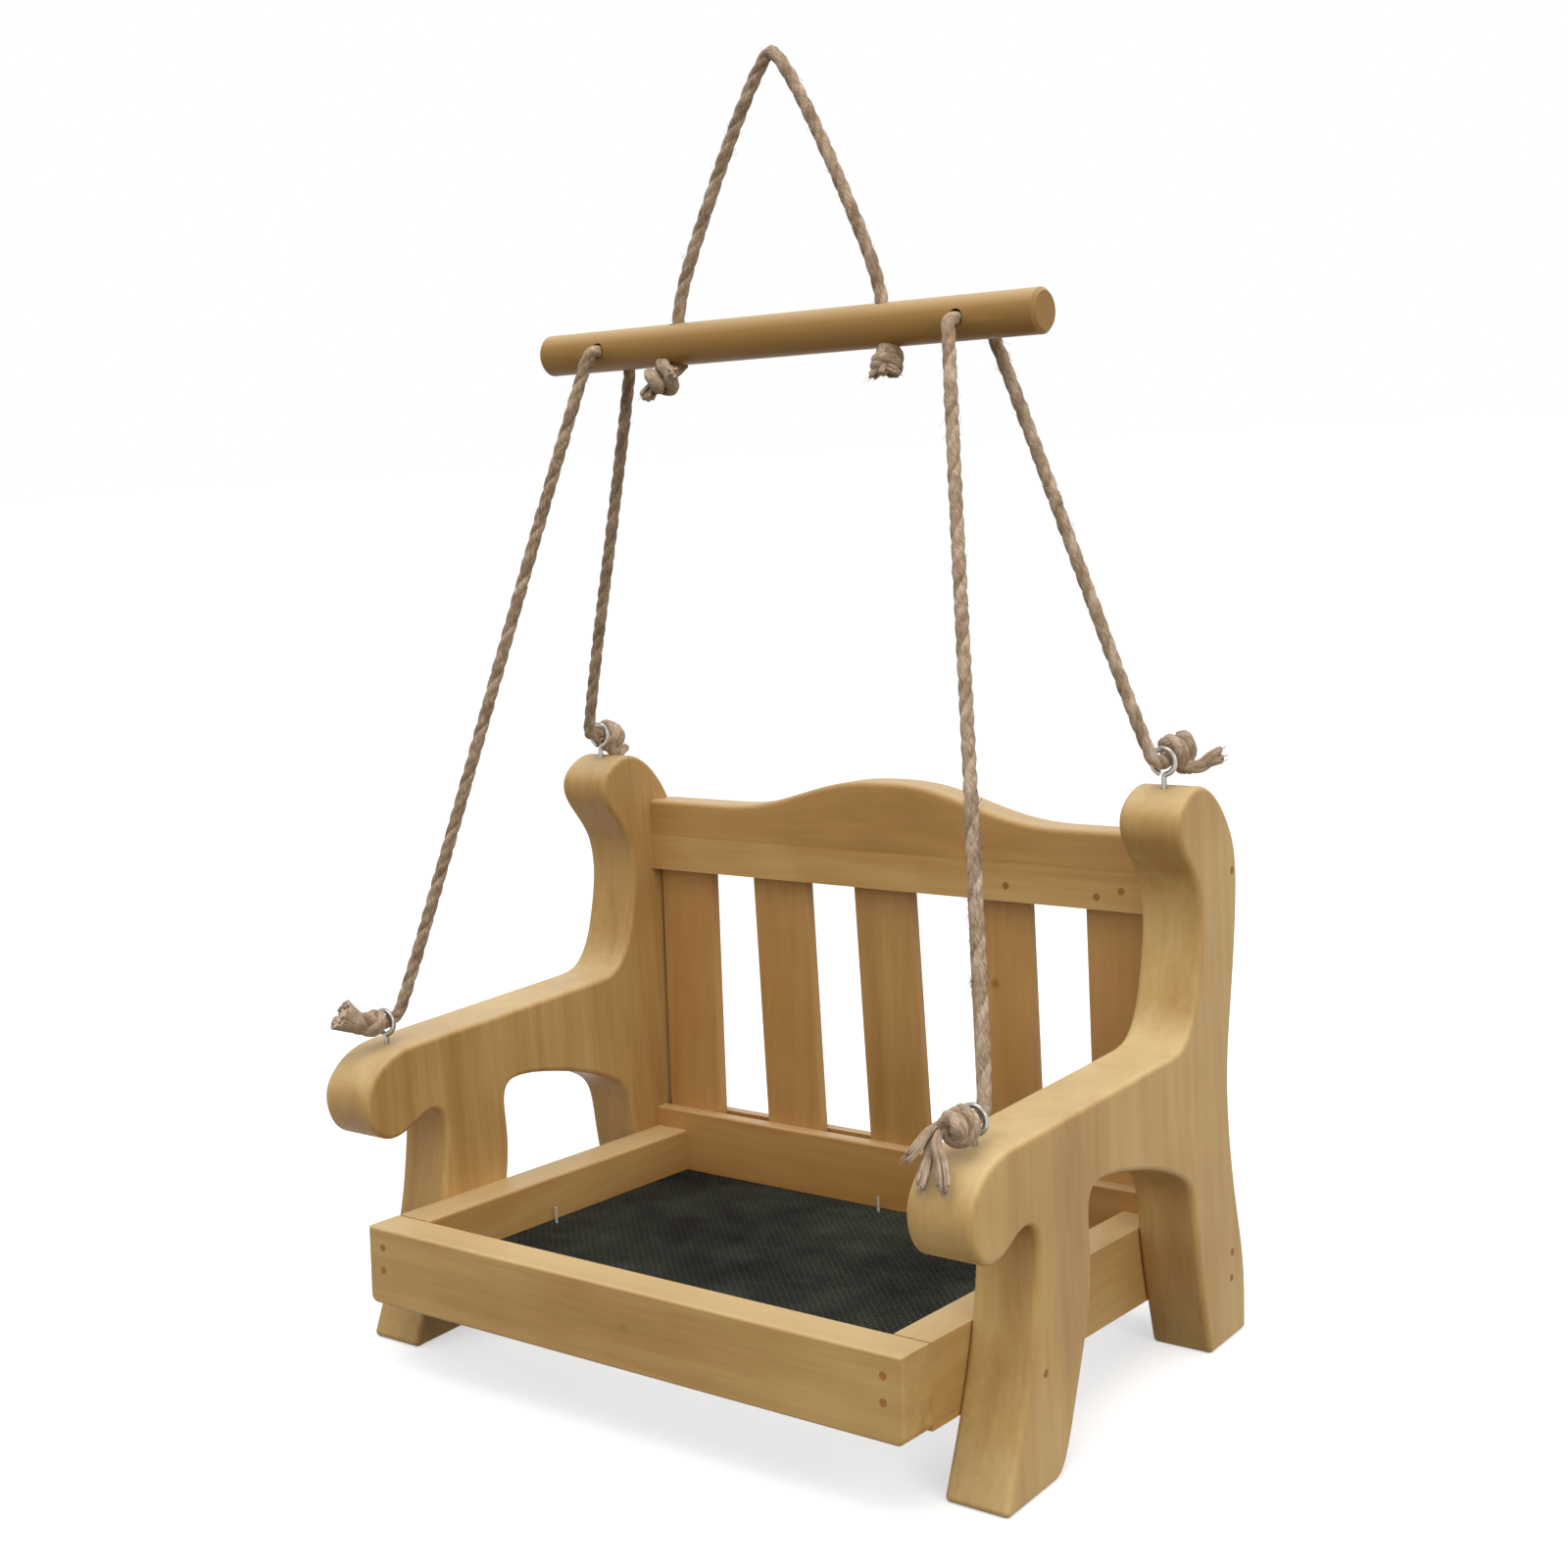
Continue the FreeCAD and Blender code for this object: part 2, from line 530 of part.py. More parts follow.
for line_number in range(ROWS + 1):
    y = min(max(INNER_FRONT + line_number * step_y, INNER_FRONT + ridge), INNER_BACK - ridge)
    polygon(ribs, [(-INNER_HALF, y - ridge), (INNER_HALF, y - ridge),
                   (INNER_HALF, y + ridge), (-INNER_HALF, y + ridge)])
pad(body, ribs, "Sizes.ridge_height", name="Ribs_pad")
ribs = new_sketch(body, "CrossRibs", "XY_Plane", -size["mesh_drop"])
for column in range(COLUMNS + 1):
    x = min(max(-INNER_HALF + column * step_x, -INNER_HALF + ridge), INNER_HALF - ridge)
    polygon(ribs, [(x - ridge, INNER_FRONT), (x + ridge, INNER_FRONT),
                   (x + ridge, INNER_BACK), (x - ridge, INNER_BACK)])
pad(body, ribs, "Sizes.ridge_height", name="CrossRibs_pad")
drill(body, "Staples", "XY_Plane", -size["mesh_drop"], staple_legs(), "Sizes.staple_wire",
      "Sizes.mesh_thickness + 1")


def primitive(kind, name, placement, **expressions):
    solid = doc.addObject("Part::" + kind, name)
    bind(solid, **expressions)
    solid.Placement = placement
    return solid


def group(name, solids):
    """Separate solids that share one node."""
    compound = doc.addObject("Part::Compound", name)
    compound.Links = solids
    compound.Label = name
    parts.append(compound)
    return compound


def towards(direction):
    return FreeCAD.Rotation(Vector(0, 0, 1), Vector(*direction))


def brad(name, spot, direction, placement, length):
    """A headed brad driven along a direction, its head flush with the surface."""
    seat = placement * FreeCAD.Placement(Vector(*spot), towards(direction))
    head = primitive("Cylinder", name + "_head", seat, Radius="Sizes.brad_head / 2",
                     Height="Sizes.brad_head_height")
    shank = primitive("Cylinder", name + "_shank", seat, Radius="Sizes.brad_diameter / 2",
                      Height=length)
    solid = doc.addObject("Part::Fuse", name)
    solid.Base = head
    solid.Tool = shank
    return solid


group("tray_brads", [
    brad("tray_brad_%d" % number, (x, 0, z), (0, 1, 0), TILT, "Sizes.brad_length")
    for number, (x, z) in enumerate(FRONT_BRADS)])
group("side_panel_brads", [
    brad("panel_brad_%d_%d" % (side > 0, number), (side * OUTSIDE, y, z), (-side, 0, 0), TILT,
         "Sizes.brad_length")
    for side in (-1, 1) for number, (y, z) in enumerate(PANEL_BRADS)])
group("crest_brads", [
    brad("crest_brad_%d" % number, (x, size["seat_depth"], size["crest_lift"] + lift), (0, 1, 0),
         TILT, "Sizes.slat_brad_length")
    for number, (x, lift) in enumerate(SLAT_BRADS)])


def staple(number, x, y, along):
    """A crown below the mesh and two legs up through it into the rebate."""
    bodies = []
    spread = Vector(*along, 0) * LEG_SPREAD
    bottom = Vector(x, y, MESH_UNDER - size["staple_wire"])
    crown = doc.addObject("Part::Box", "staple_%d_crown" % number)
    long_side, short_side = "Sizes.staple_width", "Sizes.staple_wire"
    bind(crown, Height="Sizes.staple_wire", Length=long_side if along[0] else short_side,
         Width=short_side if along[0] else long_side)
    half = spread + Vector(1, 1, 0) * (size["staple_wire"] / 2)
    crown.Placement = TILT * FreeCAD.Placement(bottom - half, FreeCAD.Rotation())
    bodies.append(crown)
    for side in (-1, 1):
        seat = FreeCAD.Placement(bottom + spread * side, FreeCAD.Rotation())
        bodies.append(primitive("Cylinder", "staple_%d_leg_%d" % (number, side > 0), TILT * seat,
                                Radius="Sizes.staple_wire / 2",
                                Height="Sizes.staple_wire + Sizes.mesh_thickness"
                                       " + Sizes.staple_leg"))
    solid = doc.addObject("Part::MultiFuse", "staple_%d" % number)
    solid.Shapes = bodies
    return solid


group("mesh_staples", [staple(number, *spot) for number, spot in enumerate(STAPLES)])


# Screw eyes: the ring stands square across the rope, on a neck and a shank in the wood.
RING_RADIUS = (size["eye_opening"] + size["eye_wire"]) / 2
RING_LIFT = size["eye_neck"] + size["eye_wire"] / 2 + RING_RADIUS
for name, side, along, level in (
        ("screw_eye_front_left", -1, EYE_FRONT, size["arm_level"]),
        ("screw_eye_front_right", 1, EYE_FRONT, size["arm_level"]),
        ("screw_eye_rear_left", -1, EYE_REAR, size["post_level"]),
        ("screw_eye_rear_right", 1, EYE_REAR, size["post_level"])):
    ring = primitive("Torus", name + "_ring", FreeCAD.Placement(
        Vector(side * EYE_X, along, level + RING_LIFT), FreeCAD.Rotation(Vector(1, 0, 0), 90)),
        Radius1="(Sizes.eye_opening + Sizes.eye_wire) / 2", Radius2="Sizes.eye_wire / 2")
    shank = primitive("Cylinder", name + "_shank", FreeCAD.Placement(
        Vector(side * EYE_X, along, level - size["eye_shank"]), FreeCAD.Rotation()),
        Radius="Sizes.eye_wire / 2",
        Height="Sizes.eye_shank + Sizes.eye_neck + Sizes.eye_wire / 2")
    eye = doc.addObject("Part::Fuse", name)
    eye.Base = ring
    eye.Tool = shank
    eye.Label = name
    parts.append(eye)

# Round bar, bored front to back for the slings and upright for the top rope.
body = new_body("hanger_dowel", FreeCAD.Placement(
    Vector(0, size["bar_depth"], size["bar_level"]), FreeCAD.Rotation()))
section = new_sketch(body, "Section", "YZ_Plane")
circle(section, 0, 0, "Sizes.bar_diameter")
bar = body.newObject("PartDesign::Pad", "hanger_dowel_Pad")
bar.Profile = section
bar.Midplane = True
bind(bar, Length="Sizes.bar_length")
doc.recompute()
rims = edges_where(bar.Shape, lambda spot: abs(spot.x) > size["bar_length"] / 2 - 1e-3)
chamfer = body.newObject("PartDesign::Chamfer", "hanger_dowel_Ends")
chamfer.Base = (bar, rims)
bind(chamfer, Size="Sizes.bar_ease")
doc.recompute()
reach = "Sizes.bar_diameter + 2"
drill(body, "Slings", "XZ_Plane", size["bar_diameter"] / 2 + 1,
      [(side * size["sling_spacing"] / 2, 0) for side in (-1, 1)],
      "Sizes.rope_diameter + Sizes.rope_play", reach)
drill(body, "Hanger", "XY_Plane", size["bar_diameter"] / 2 + 1,
      [(side * size["hanger_spacing"] / 2, 0) for side in (-1, 1)],
      "Sizes.rope_diameter + Sizes.rope_play", reach)


# Ropes: straight runs joined by tangent arcs.
def rope(name, points):
    spots = [Vector(*point) for point in points]
    section = math.pi * (size["rope_diameter"] / 2) ** 2
    edges = []
    radii = []
    start = spots[0]
    for before, corner, after in zip(spots, spots[1:], spots[2:]):
        back = (before - corner).normalize()
        ahead = (after - corner).normalize()
        half_turn = (math.pi - back.getAngle(ahead)) / 2
        setback = 0.45 * min((before - corner).Length, (after - corner).Length)
        radius = setback / math.tan(half_turn)
        radii.append(round(radius / size["rope_diameter"], 1))
        first = corner + back * setback
        last = corner + ahead * setback
        inward = (back + ahead).normalize()
        via = corner + inward * (radius / math.cos(half_turn) - radius)
        edges.append(Part.LineSegment(start, first).toShape())
        edges.append(Part.Arc(first, via, last).toShape())
        start = last
    edges.append(Part.LineSegment(start, spots[-1]).toShape())
    path = Part.Wire(edges)
    ring = Part.Wire([Part.makeCircle(size["rope_diameter"] / 2, spots[0], spots[1] - spots[0])])
    tube = doc.addObject("Part::Feature", name)
    tube.Shape = path.makePipeShell([ring], True, False)
    tube.Label = name
    parts.append(tube)
    print("%s: %.1f mm, radii in diameters %s, volume ratio %.4f"
          % (name, path.Length, radii, tube.Shape.Volume / (section * path.Length)))
    return tube


SLING = [(110, -57.1, 104.85), (110, -52.3, 104.85), (109.4, -48.4, 107.7),
         (67.9, 14.4, 308.9), (67.4, 17.6, 311.2), (67.4, 34.4, 311.2), (68.4, 37.8, 308.3),
         (109, 47.2, 184.1), (110, 50.8, 181.05), (110, 55.6, 181.05)]
HANGER = [(-39.2, 26, 304.4), (-39.2, 26, 323), (-1.8, 26, 393.2),
          (8.8, 26, 393.2), (39.2, 26, 323), (39.2, 26, 304.4)]
LEFT_SLING = [(-x, y, z) for x, y, z in SLING]
rope("left_sling_rope", LEFT_SLING)
rope("right_sling_rope", SLING)
rope("top_hanger_rope", HANGER)


# Knots: a round overhand knot with a flat face against the ring or the bar, and the
# frayed end that leaves it. Each lies on the far side of what it stops.
def knot(name, face, away, tail, tail_radii, share=1.0):
    """A ball cut flat at face, where the rope meets it, and a stub for its frayed end.
    tail is two steps: from the face to the stub's root, and from there to its tip."""
    face = Vector(*face)
    axis = Vector(*away)
    radius = size["knot_diameter"] / 2 * share
    root = face + Vector(*tail[0])
    stub = Vector(*tail[1])
    ball = Part.makeSphere(radius, face + axis * (radius * 0.72))
    shape = ball.fuse(Part.makeCone(tail_radii[0], tail_radii[1], stub.Length, root, stub))
    block = Part.makeBox(40, 40, 40, Vector(-20, -20, -40))
    block.Placement = FreeCAD.Placement(face, FreeCAD.Rotation(Vector(0, 0, 1), axis))
    solid = doc.addObject("Part::Feature", name)
    solid.Shape = shape.cut(block).removeSplitter()
    solid.Label = name
    parts.append(solid)


knot("knot_front_left", LEFT_SLING[0], (0, -1, 0), [(-1, -3.9, -0.4), (-10, -14, 3)], (3.2, 5.4))
knot("knot_front_right", SLING[0], (0, -1, 0), [(-0.6, -5.9, -3.8), (-2, -16, -9.6)], (2.2, 4.0))
knot("knot_rear_left", LEFT_SLING[-1], (0, 1, 0), [(1, 5.4, -0.6), (5.6, 9.4, -6.2)], (3.6, 3.0))
knot("knot_rear_right", SLING[-1], (0, 1, 0), [(1, 4.4, 0), (14, 11.4, -2.4)], (3.4, 2.5))
knot("knot_hanger_left", HANGER[0], (0, 0, -1), [(-1.3, -1, -5.4), (-2.9, -3, -9.4)], (3.4, 3.0))
knot("knot_hanger_right", HANGER[-1], (0, 0, -1), [(0.2, 0, -5.4), (1.2, -1.4, -6.6)],
     (3.6, 3.8), share=0.9)

doc.recompute()
for obj in doc.Objects:
    if "Invalid" in obj.State or "Error" in obj.State:
        raise RuntimeError("%s is %s" % (obj.Name, obj.State))
os.makedirs("parts", exist_ok=True)
for obj in parts:
    if obj.Shape.isNull() or not obj.Shape.isValid():
        raise RuntimeError(obj.Label + " has no valid shape")
    obj.Shape.exportStep("parts/%s.step" % obj.Label)
    print("%-24s %2d solid(s) %10.1f mm3" % (obj.Label, len(obj.Shape.Solids), obj.Shape.Volume))
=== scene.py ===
# %% [markdown]
# # A hanging bird feeder shaped like a garden bench
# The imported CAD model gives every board, brad, staple and rope its real place and size.
# This lesson loads it as the frame, finishes the wood that is already the right shape,
# and builds what CAD only stands in for: twisted rope, knots, frayed ends, bent screw
# eyes and a woven mesh. One frame is shared, in metres, with +Z up and the seat facing -Y.

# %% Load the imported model
import math
import random
import bmesh
import bpy
from mathutils import Matrix, Quaternion, Vector


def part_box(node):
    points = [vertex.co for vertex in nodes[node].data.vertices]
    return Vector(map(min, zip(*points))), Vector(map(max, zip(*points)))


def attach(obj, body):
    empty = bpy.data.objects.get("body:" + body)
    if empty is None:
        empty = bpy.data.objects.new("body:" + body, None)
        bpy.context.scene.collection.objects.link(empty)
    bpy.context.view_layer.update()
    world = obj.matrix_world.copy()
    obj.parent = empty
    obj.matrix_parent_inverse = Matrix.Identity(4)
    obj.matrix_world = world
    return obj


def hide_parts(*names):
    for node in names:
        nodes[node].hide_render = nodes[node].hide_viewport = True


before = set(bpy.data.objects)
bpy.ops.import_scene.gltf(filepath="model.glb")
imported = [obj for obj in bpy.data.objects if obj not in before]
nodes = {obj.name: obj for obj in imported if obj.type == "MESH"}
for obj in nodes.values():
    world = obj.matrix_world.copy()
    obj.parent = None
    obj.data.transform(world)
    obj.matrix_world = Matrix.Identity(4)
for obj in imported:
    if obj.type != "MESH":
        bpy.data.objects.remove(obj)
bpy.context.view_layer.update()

# %% [markdown]
# ## Colour
# Colours are picked as sRGB hex, the way a paint chip or a screen shows them, but a
# shader wants linear light. Typing linear numbers by hand would hide what colour is meant,
# so one function converts the hex code wherever a colour is set.

# %% Hex to linear
def linear(code):
    """'#rrggbb' as sRGB to linear RGBA."""
    channels = [int(code[i:i + 2], 16) / 255 for i in (1, 3, 5)]
    return [c / 12.92 if c <= 0.04045 else ((c + 0.055) / 1.055) ** 2.4 for c in channels] + [1]


print("linear('#808080') =", round(linear("#808080")[0], 4))

# %% [markdown]
# ## Nodes
# A material is a tree of nodes, and each node takes three lines to add, set and wire. One
# small function does all three, so that a finish below reads as a list of layers. A socket
# that is given another node's output is linked to it, and one that is given a number keeps it.

# %% Add a node, start a material
def add(tree, kind, inputs=(), stops=(), **settings):
    """One node: inputs are its sockets' values or what feeds them, stops its colour ramp's."""
    node = tree.nodes.new(kind)
    for name, value in settings.items():
        setattr(node, name, value)
    for socket, value in dict(inputs).items():
        if isinstance(value, bpy.types.NodeSocket):
            tree.links.new(value, node.inputs[socket])
        else:
            node.inputs[socket].default_value = value
    if stops:
        elements = node.color_ramp.elements
        while len(elements) < len(stops):
            elements.new(0.5)
        for element, (position, colour) in zip(elements, stops):
            element.position = position
            element.color = linear(colour) if isinstance(colour, str) else (colour,) * 3 + (1,)
    return node


def new_material(name):
    """An empty material with its output and a shader, ready for layers."""
    material = bpy.data.materials.new(name)
    material.use_nodes = True
    tree = material.node_tree
    tree.nodes.clear()
    shader = add(tree, "ShaderNodeBsdfPrincipled")
    add(tree, "ShaderNodeOutputMaterial", {"Surface": shader.outputs["BSDF"]})
    return material, tree, shader


print("node helpers ready")

# %% [markdown]
# ## Clear-varnished pine: the grain
# The boards are sanded pine under thin satin varnish: pale honey, with long soft streaks and
# hardly any contrast. In each board the streaks run along its length, and across the sawn end
# they show as spots. A flat image could not do both, so the pattern lives in object space and
# is drawn out along one axis. Three noises add up: a band about 12 mm wide for the growth
# rings, a 1.5 mm streak for the grain, and an undrawn patch of 60 mm for the way real boards
# drift in tone. Every board gets its own offset, so no two are cut from the same place.

# %% Grain
RINGS = 85.0
STREAKS = 650.0
DRIFT = 16.0
DRAWN_OUT = 0.07


def grain_layers(tree, place, turn, seed):
    """The bands' own noise, and the sum of bands, streaks and drift that colours the board."""
    turned = add(tree, "ShaderNodeMapping", {"Vector": place, "Rotation": turn,
                                             "Location": (seed, seed * 0.37, seed * 0.71)}).outputs[0]
    along = add(tree, "ShaderNodeMapping", {"Vector": turned, "Scale": (DRAWN_OUT, 1, 1)}).outputs[0]
    drift = add(tree, "ShaderNodeTexNoise", {"Vector": turned, "Scale": DRIFT, "Detail": 2.0})
    bands = add(tree, "ShaderNodeTexNoise", {"Vector": along, "Scale": RINGS, "Detail": 3.0,
                                             "Roughness": 0.55, "Distortion": 0.6})
    streaks = add(tree, "ShaderNodeTexNoise", {"Vector": along, "Scale": STREAKS, "Detail": 2.0})
    grain = 0.0
    for noise, share in ((bands, 0.44), (streaks, 0.14), (drift, 0.42)):
        grain = add(tree, "ShaderNodeMath", {0: noise.outputs["Fac"], 1: share, 2: grain},
                    operation="MULTIPLY_ADD").outputs[0]
    return bands.outputs["Fac"], grain


print("growth rings mm", round(1000 / RINGS, 1), "streaks mm", round(1000 / STREAKS, 1))

# %% [markdown]
# ## Pin knots and painted light on the tops
# Two boards carry a pin knot, the small brown eye where a twig was. It is a round spot, so the
# distance from one point is all that it needs. Faces that look up get painted light, a paler
# cream mixed into their colour. The surface's own normal tells which they are, whatever the board.

# %% Knot and painted top light
KNOT_HEART, KNOT_EDGE = 0.0004, 0.0022


def with_pin_knot(tree, place, wood, spot, faint):
    """The wood's colour with a brown heart at spot. faint is how much of the wood still shows there."""
    away = add(tree, "ShaderNodeVectorMath", {0: place, 1: spot}, operation="DISTANCE").outputs["Value"]
    clear = add(tree, "ShaderNodeMapRange", {"Value": away, "From Min": KNOT_HEART,
                                             "From Max": KNOT_EDGE, "To Min": faint}).outputs[0]
    return add(tree, "ShaderNodeMix", {"Factor": clear, "A": linear("#8a5c2c"), "B": wood},
               data_type="RGBA").outputs["Result"]


def painted_top_light(tree, wood):
    """The wood's colour, paler where the surface looks up: painted light on the tops."""
    normal = add(tree, "ShaderNodeNewGeometry").outputs["True Normal"]
    height = add(tree, "ShaderNodeSeparateXYZ", {0: normal}).outputs["Z"]
    up = add(tree, "ShaderNodeMapRange", {"Value": height, "From Min": 0.35, "From Max": 0.95,
                                          "To Max": 0.34}).outputs[0]
    return add(tree, "ShaderNodeMix", {"Factor": up, "A": wood, "B": linear("#e2d2a8")},
               data_type="RGBA").outputs["Result"]


print("pin knot mm across", round(2000 * KNOT_EDGE, 1))

# %% [markdown]
# ## The pine finish
# One function makes every board's material, because they are all the same stock. What differs
# is given: the turn that lays the pattern along the board, how light and how warm it is, where
# its pattern starts, and a knot where there is one. Over the colour lies the varnish: satin
# and thin, so it has little gloss of its own, and it is a touch duller over the pale wood.

# %% Pine
PINE_TONES = [(0.28, "#9b743d"), (0.44, "#b58d56"), (0.54, "#c19d63"), (0.68, "#ceae77")]
WARM_PINE_AND_SHADE = "#b4783a"


def pine(name, turn, tone=0.0, seed=0.0, warm=0.0, place=None, knot=None, faint=0.0):
    """turn is the rotation that lays the board's length along the pattern's X axis."""
    material, tree, shader = new_material("Varnished pine, " + name)
    if place is None:
        spot = add(tree, "ShaderNodeTexCoord").outputs["Object"]
        painted_shade = 0.0
    else:
        spot, painted_shade = place(tree)
    bands, grain = grain_layers(tree, spot, turn, seed)
    toned = grain
    for lift in (tone, painted_shade):
        toned = add(tree, "ShaderNodeMath", {0: toned, 1: lift}, operation="ADD").outputs[0]
    colour = add(tree, "ShaderNodeValToRGB", {"Fac": toned}, stops=PINE_TONES).outputs["Color"]
    # The mix towards orange is partly the board's own tone and partly painted shade.
    colour = add(tree, "ShaderNodeMix", {"Factor": warm, "A": colour, "B": linear(WARM_PINE_AND_SHADE)},
                 data_type="RGBA").outputs["Result"]
    if knot is not None:
        colour = with_pin_knot(tree, spot, colour, knot, faint)
    # Painted light: faces that look up are mixed towards a paler cream.
    tree.links.new(painted_top_light(tree, colour), shader.inputs["Base Color"])
    gloss = add(tree, "ShaderNodeValToRGB", {"Fac": bands}, stops=[(0.35, 0.44), (0.65, 0.54)])
    tree.links.new(gloss.outputs["Color"], shader.inputs["Roughness"])
    shader.inputs["Specular IOR Level"].default_value = 0.22
    shader.inputs["Coat Weight"].default_value = 0.05
    shader.inputs["Coat Roughness"].default_value = 0.30
    bump = add(tree, "ShaderNodeBump", {"Height": grain, "Strength": 0.25, "Distance": 0.0004})
    tree.links.new(bump.outputs["Normal"], shader.inputs["Normal"])
    return material


print("pine from", PINE_TONES[0][1], "to", PINE_TONES[-1][1])

# %% [markdown]
# ## The crest rail's own figure and painted shade
# The crest is the one board whose figure isn't straight. Its grain swells with its hump, and a
# straight line at mid-height parts a lighter lower half from a darker upper one. The upper half,
# which faces a little downwards, gets painted shade, and the lower half gets painted light. A thin
# line of painted shade runs along the crease. Carving the line would be too much for a change of
# tone, so the place where the pattern is read is bent instead: it sinks under the hump by a bell
# curve, and the two painted tones and the thin dark line are added.

# %% Bend the crest's pattern
CREASE_HEIGHT = 0.1442
HUMP_RISE = 0.0105
HUMP_NARROW = -620.0
# Painted shade and light: the upper half is darkened and the lower half lightened by this much.
PAINTED_HALF_SHADE = 0.05
# Painted shade: a thin dark line along the crease, this wide.
CREASE_SHADE_WIDTH, CREASE_SHADE_DARK = 0.0006, -0.09


def crest_place(tree):
    """Where the crest's pattern is read, and the painted shade added to its tone."""
    spot = add(tree, "ShaderNodeTexCoord").outputs["Object"]
    x, y, z = add(tree, "ShaderNodeSeparateXYZ", {0: spot}).outputs
    square = add(tree, "ShaderNodeMath", {0: x, 1: x}, operation="MULTIPLY").outputs[0]
    power = add(tree, "ShaderNodeMath", {0: square, 1: HUMP_NARROW}, operation="MULTIPLY").outputs[0]
    bell = add(tree, "ShaderNodeMath", {0: power}, operation="EXPONENT").outputs[0]
    share = add(tree, "ShaderNodeMapRange", {"Value": z, "From Min": CREASE_HEIGHT,
                                             "From Max": CREASE_HEIGHT + 0.023}).outputs[0]
    swell = add(tree, "ShaderNodeMath", {0: bell, 1: share}, operation="MULTIPLY").outputs[0]
    rise = add(tree, "ShaderNodeMath", {0: swell, 1: HUMP_RISE}, operation="MULTIPLY").outputs[0]
    level = add(tree, "ShaderNodeMath", {0: z, 1: rise}, operation="SUBTRACT").outputs[0]
    bent = add(tree, "ShaderNodeCombineXYZ", {0: x, 1: y, 2: level}).outputs[0]
    # Painted shade above the crease, painted light below it.
    half_shade = add(tree, "ShaderNodeMapRange", {"Value": z, "From Min": CREASE_HEIGHT - 0.0004,
                                              "From Max": CREASE_HEIGHT + 0.0004, "To Min": PAINTED_HALF_SHADE,
                                              "To Max": -PAINTED_HALF_SHADE}).outputs[0]
    # A thin line of painted shade along the crease.
    above = add(tree, "ShaderNodeMath", {0: z, 1: CREASE_HEIGHT}, operation="SUBTRACT").outputs[0]
    away = add(tree, "ShaderNodeMath", {0: above}, operation="ABSOLUTE").outputs[0]
    line = add(tree, "ShaderNodeMapRange", {"Value": away, "From Max": CREASE_SHADE_WIDTH,
                                            "To Min": CREASE_SHADE_DARK, "To Max": 0.0}).outputs[0]
    painted_shade = add(tree, "ShaderNodeMath", {0: half_shade, 1: line}, operation="ADD").outputs[0]
    return bent, painted_shade


print("crest line at z mm", round(1000 * CREASE_HEIGHT, 1))

# %% [markdown]
# ## Finish the thirteen wooden pieces
# CAD's boards already have the right shape, so they keep their meshes and only get a better
# material. The slats and the seat rail are the warmest, the side panels and the front board
# the palest, and the round bar the darkest. That warmth and darkness is partly the boards' own
# tone and partly painted shade, for the shade at the back of the seat and under the bar. One
# row a board says so.

# %% Boards
ALONG_X = (0.0, 0.0, 0.0)
ALONG_Y = (0.0, 0.0, math.radians(-90))
ALONG_Z = (0.0, math.radians(90), 0.0)
BOARDS = {
    "left_side_panel": dict(turn=ALONG_Z, tone=-0.02, seed=3.1),
    "right_side_panel": dict(turn=ALONG_Z, tone=0.04, seed=7.7),
    "tray_front_board": dict(turn=ALONG_X, tone=-0.01, seed=1.3, warm=0.03,
                             knot=(0.005, -0.0795, 0.035), faint=0.65),
    "tray_left_rail": dict(turn=ALONG_Y, tone=0.01, seed=5.2, warm=0.20),
    "tray_right_rail": dict(turn=ALONG_Y, tone=0.01, seed=8.6, warm=0.18),
    "seat_back_rail": dict(turn=ALONG_X, tone=-0.10, seed=2.4, warm=0.42),
    "crest_rail": dict(turn=ALONG_X, tone=-0.05, seed=9.9, warm=0.18, place=crest_place),
    "back_slat_1": dict(turn=ALONG_Z, tone=-0.01, seed=4.4, warm=0.45),
    "back_slat_2": dict(turn=ALONG_Z, tone=-0.05, seed=6.1, warm=0.32),
    "back_slat_3": dict(turn=ALONG_Z, tone=-0.12, seed=1.9, warm=0.18),
    "back_slat_4": dict(turn=ALONG_Z, tone=-0.02, seed=3.7, warm=0.42,
                        knot=(0.040, 0.0690, 0.1035), faint=0.15),
    "back_slat_5": dict(turn=ALONG_Z, tone=-0.02, seed=5.8, warm=0.46),
    # The bar's dark tone is partly painted shade: its underside lies in shade.
    "hanger_dowel": dict(turn=ALONG_X, tone=-0.33, seed=0.6, warm=0.04),
}


def finish(node, material):
    """Puts one material on every slot of a CAD node."""
    piece = nodes[node]
    if not piece.data.materials:
        piece.data.materials.append(material)
    for number in range(len(piece.data.materials)):
        piece.data.materials[number] = material


for node, looks in BOARDS.items():
    finish(node, pine(node.replace("_", " "), **looks))
print("finished", len(BOARDS), "boards, grain along each one's length")

# %% [markdown]
# ## Steel: bright eyes, tinned staples, dulled brad heads
# The screw eyes are zinc-plated wire, so they are metallic and fairly sharp. The staples are
# tinned and duller. The brads were driven flush and have gone brown, so each head is a small
# dark dot in the pale wood. All three are one material with another colour and roughness, and
# a fine noise in the roughness keeps the wire from looking like chrome.

# %% Steel
def steel(name, colour, roughness):
    """A metal whose gloss varies a little from place to place."""
    material, tree, shader = new_material(name)
    place = add(tree, "ShaderNodeTexCoord").outputs["Object"]
    spots = add(tree, "ShaderNodeTexNoise", {"Vector": place, "Scale": 900.0, "Detail": 3.0})
    level = add(tree, "ShaderNodeValToRGB", {"Fac": spots.outputs["Fac"]},
                stops=[(0.3, roughness - 0.06), (0.7, roughness + 0.10)])
    tree.links.new(level.outputs["Color"], shader.inputs["Roughness"])
    shader.inputs["Base Color"].default_value = linear(colour)
    shader.inputs["Metallic"].default_value = 1.0
    return material


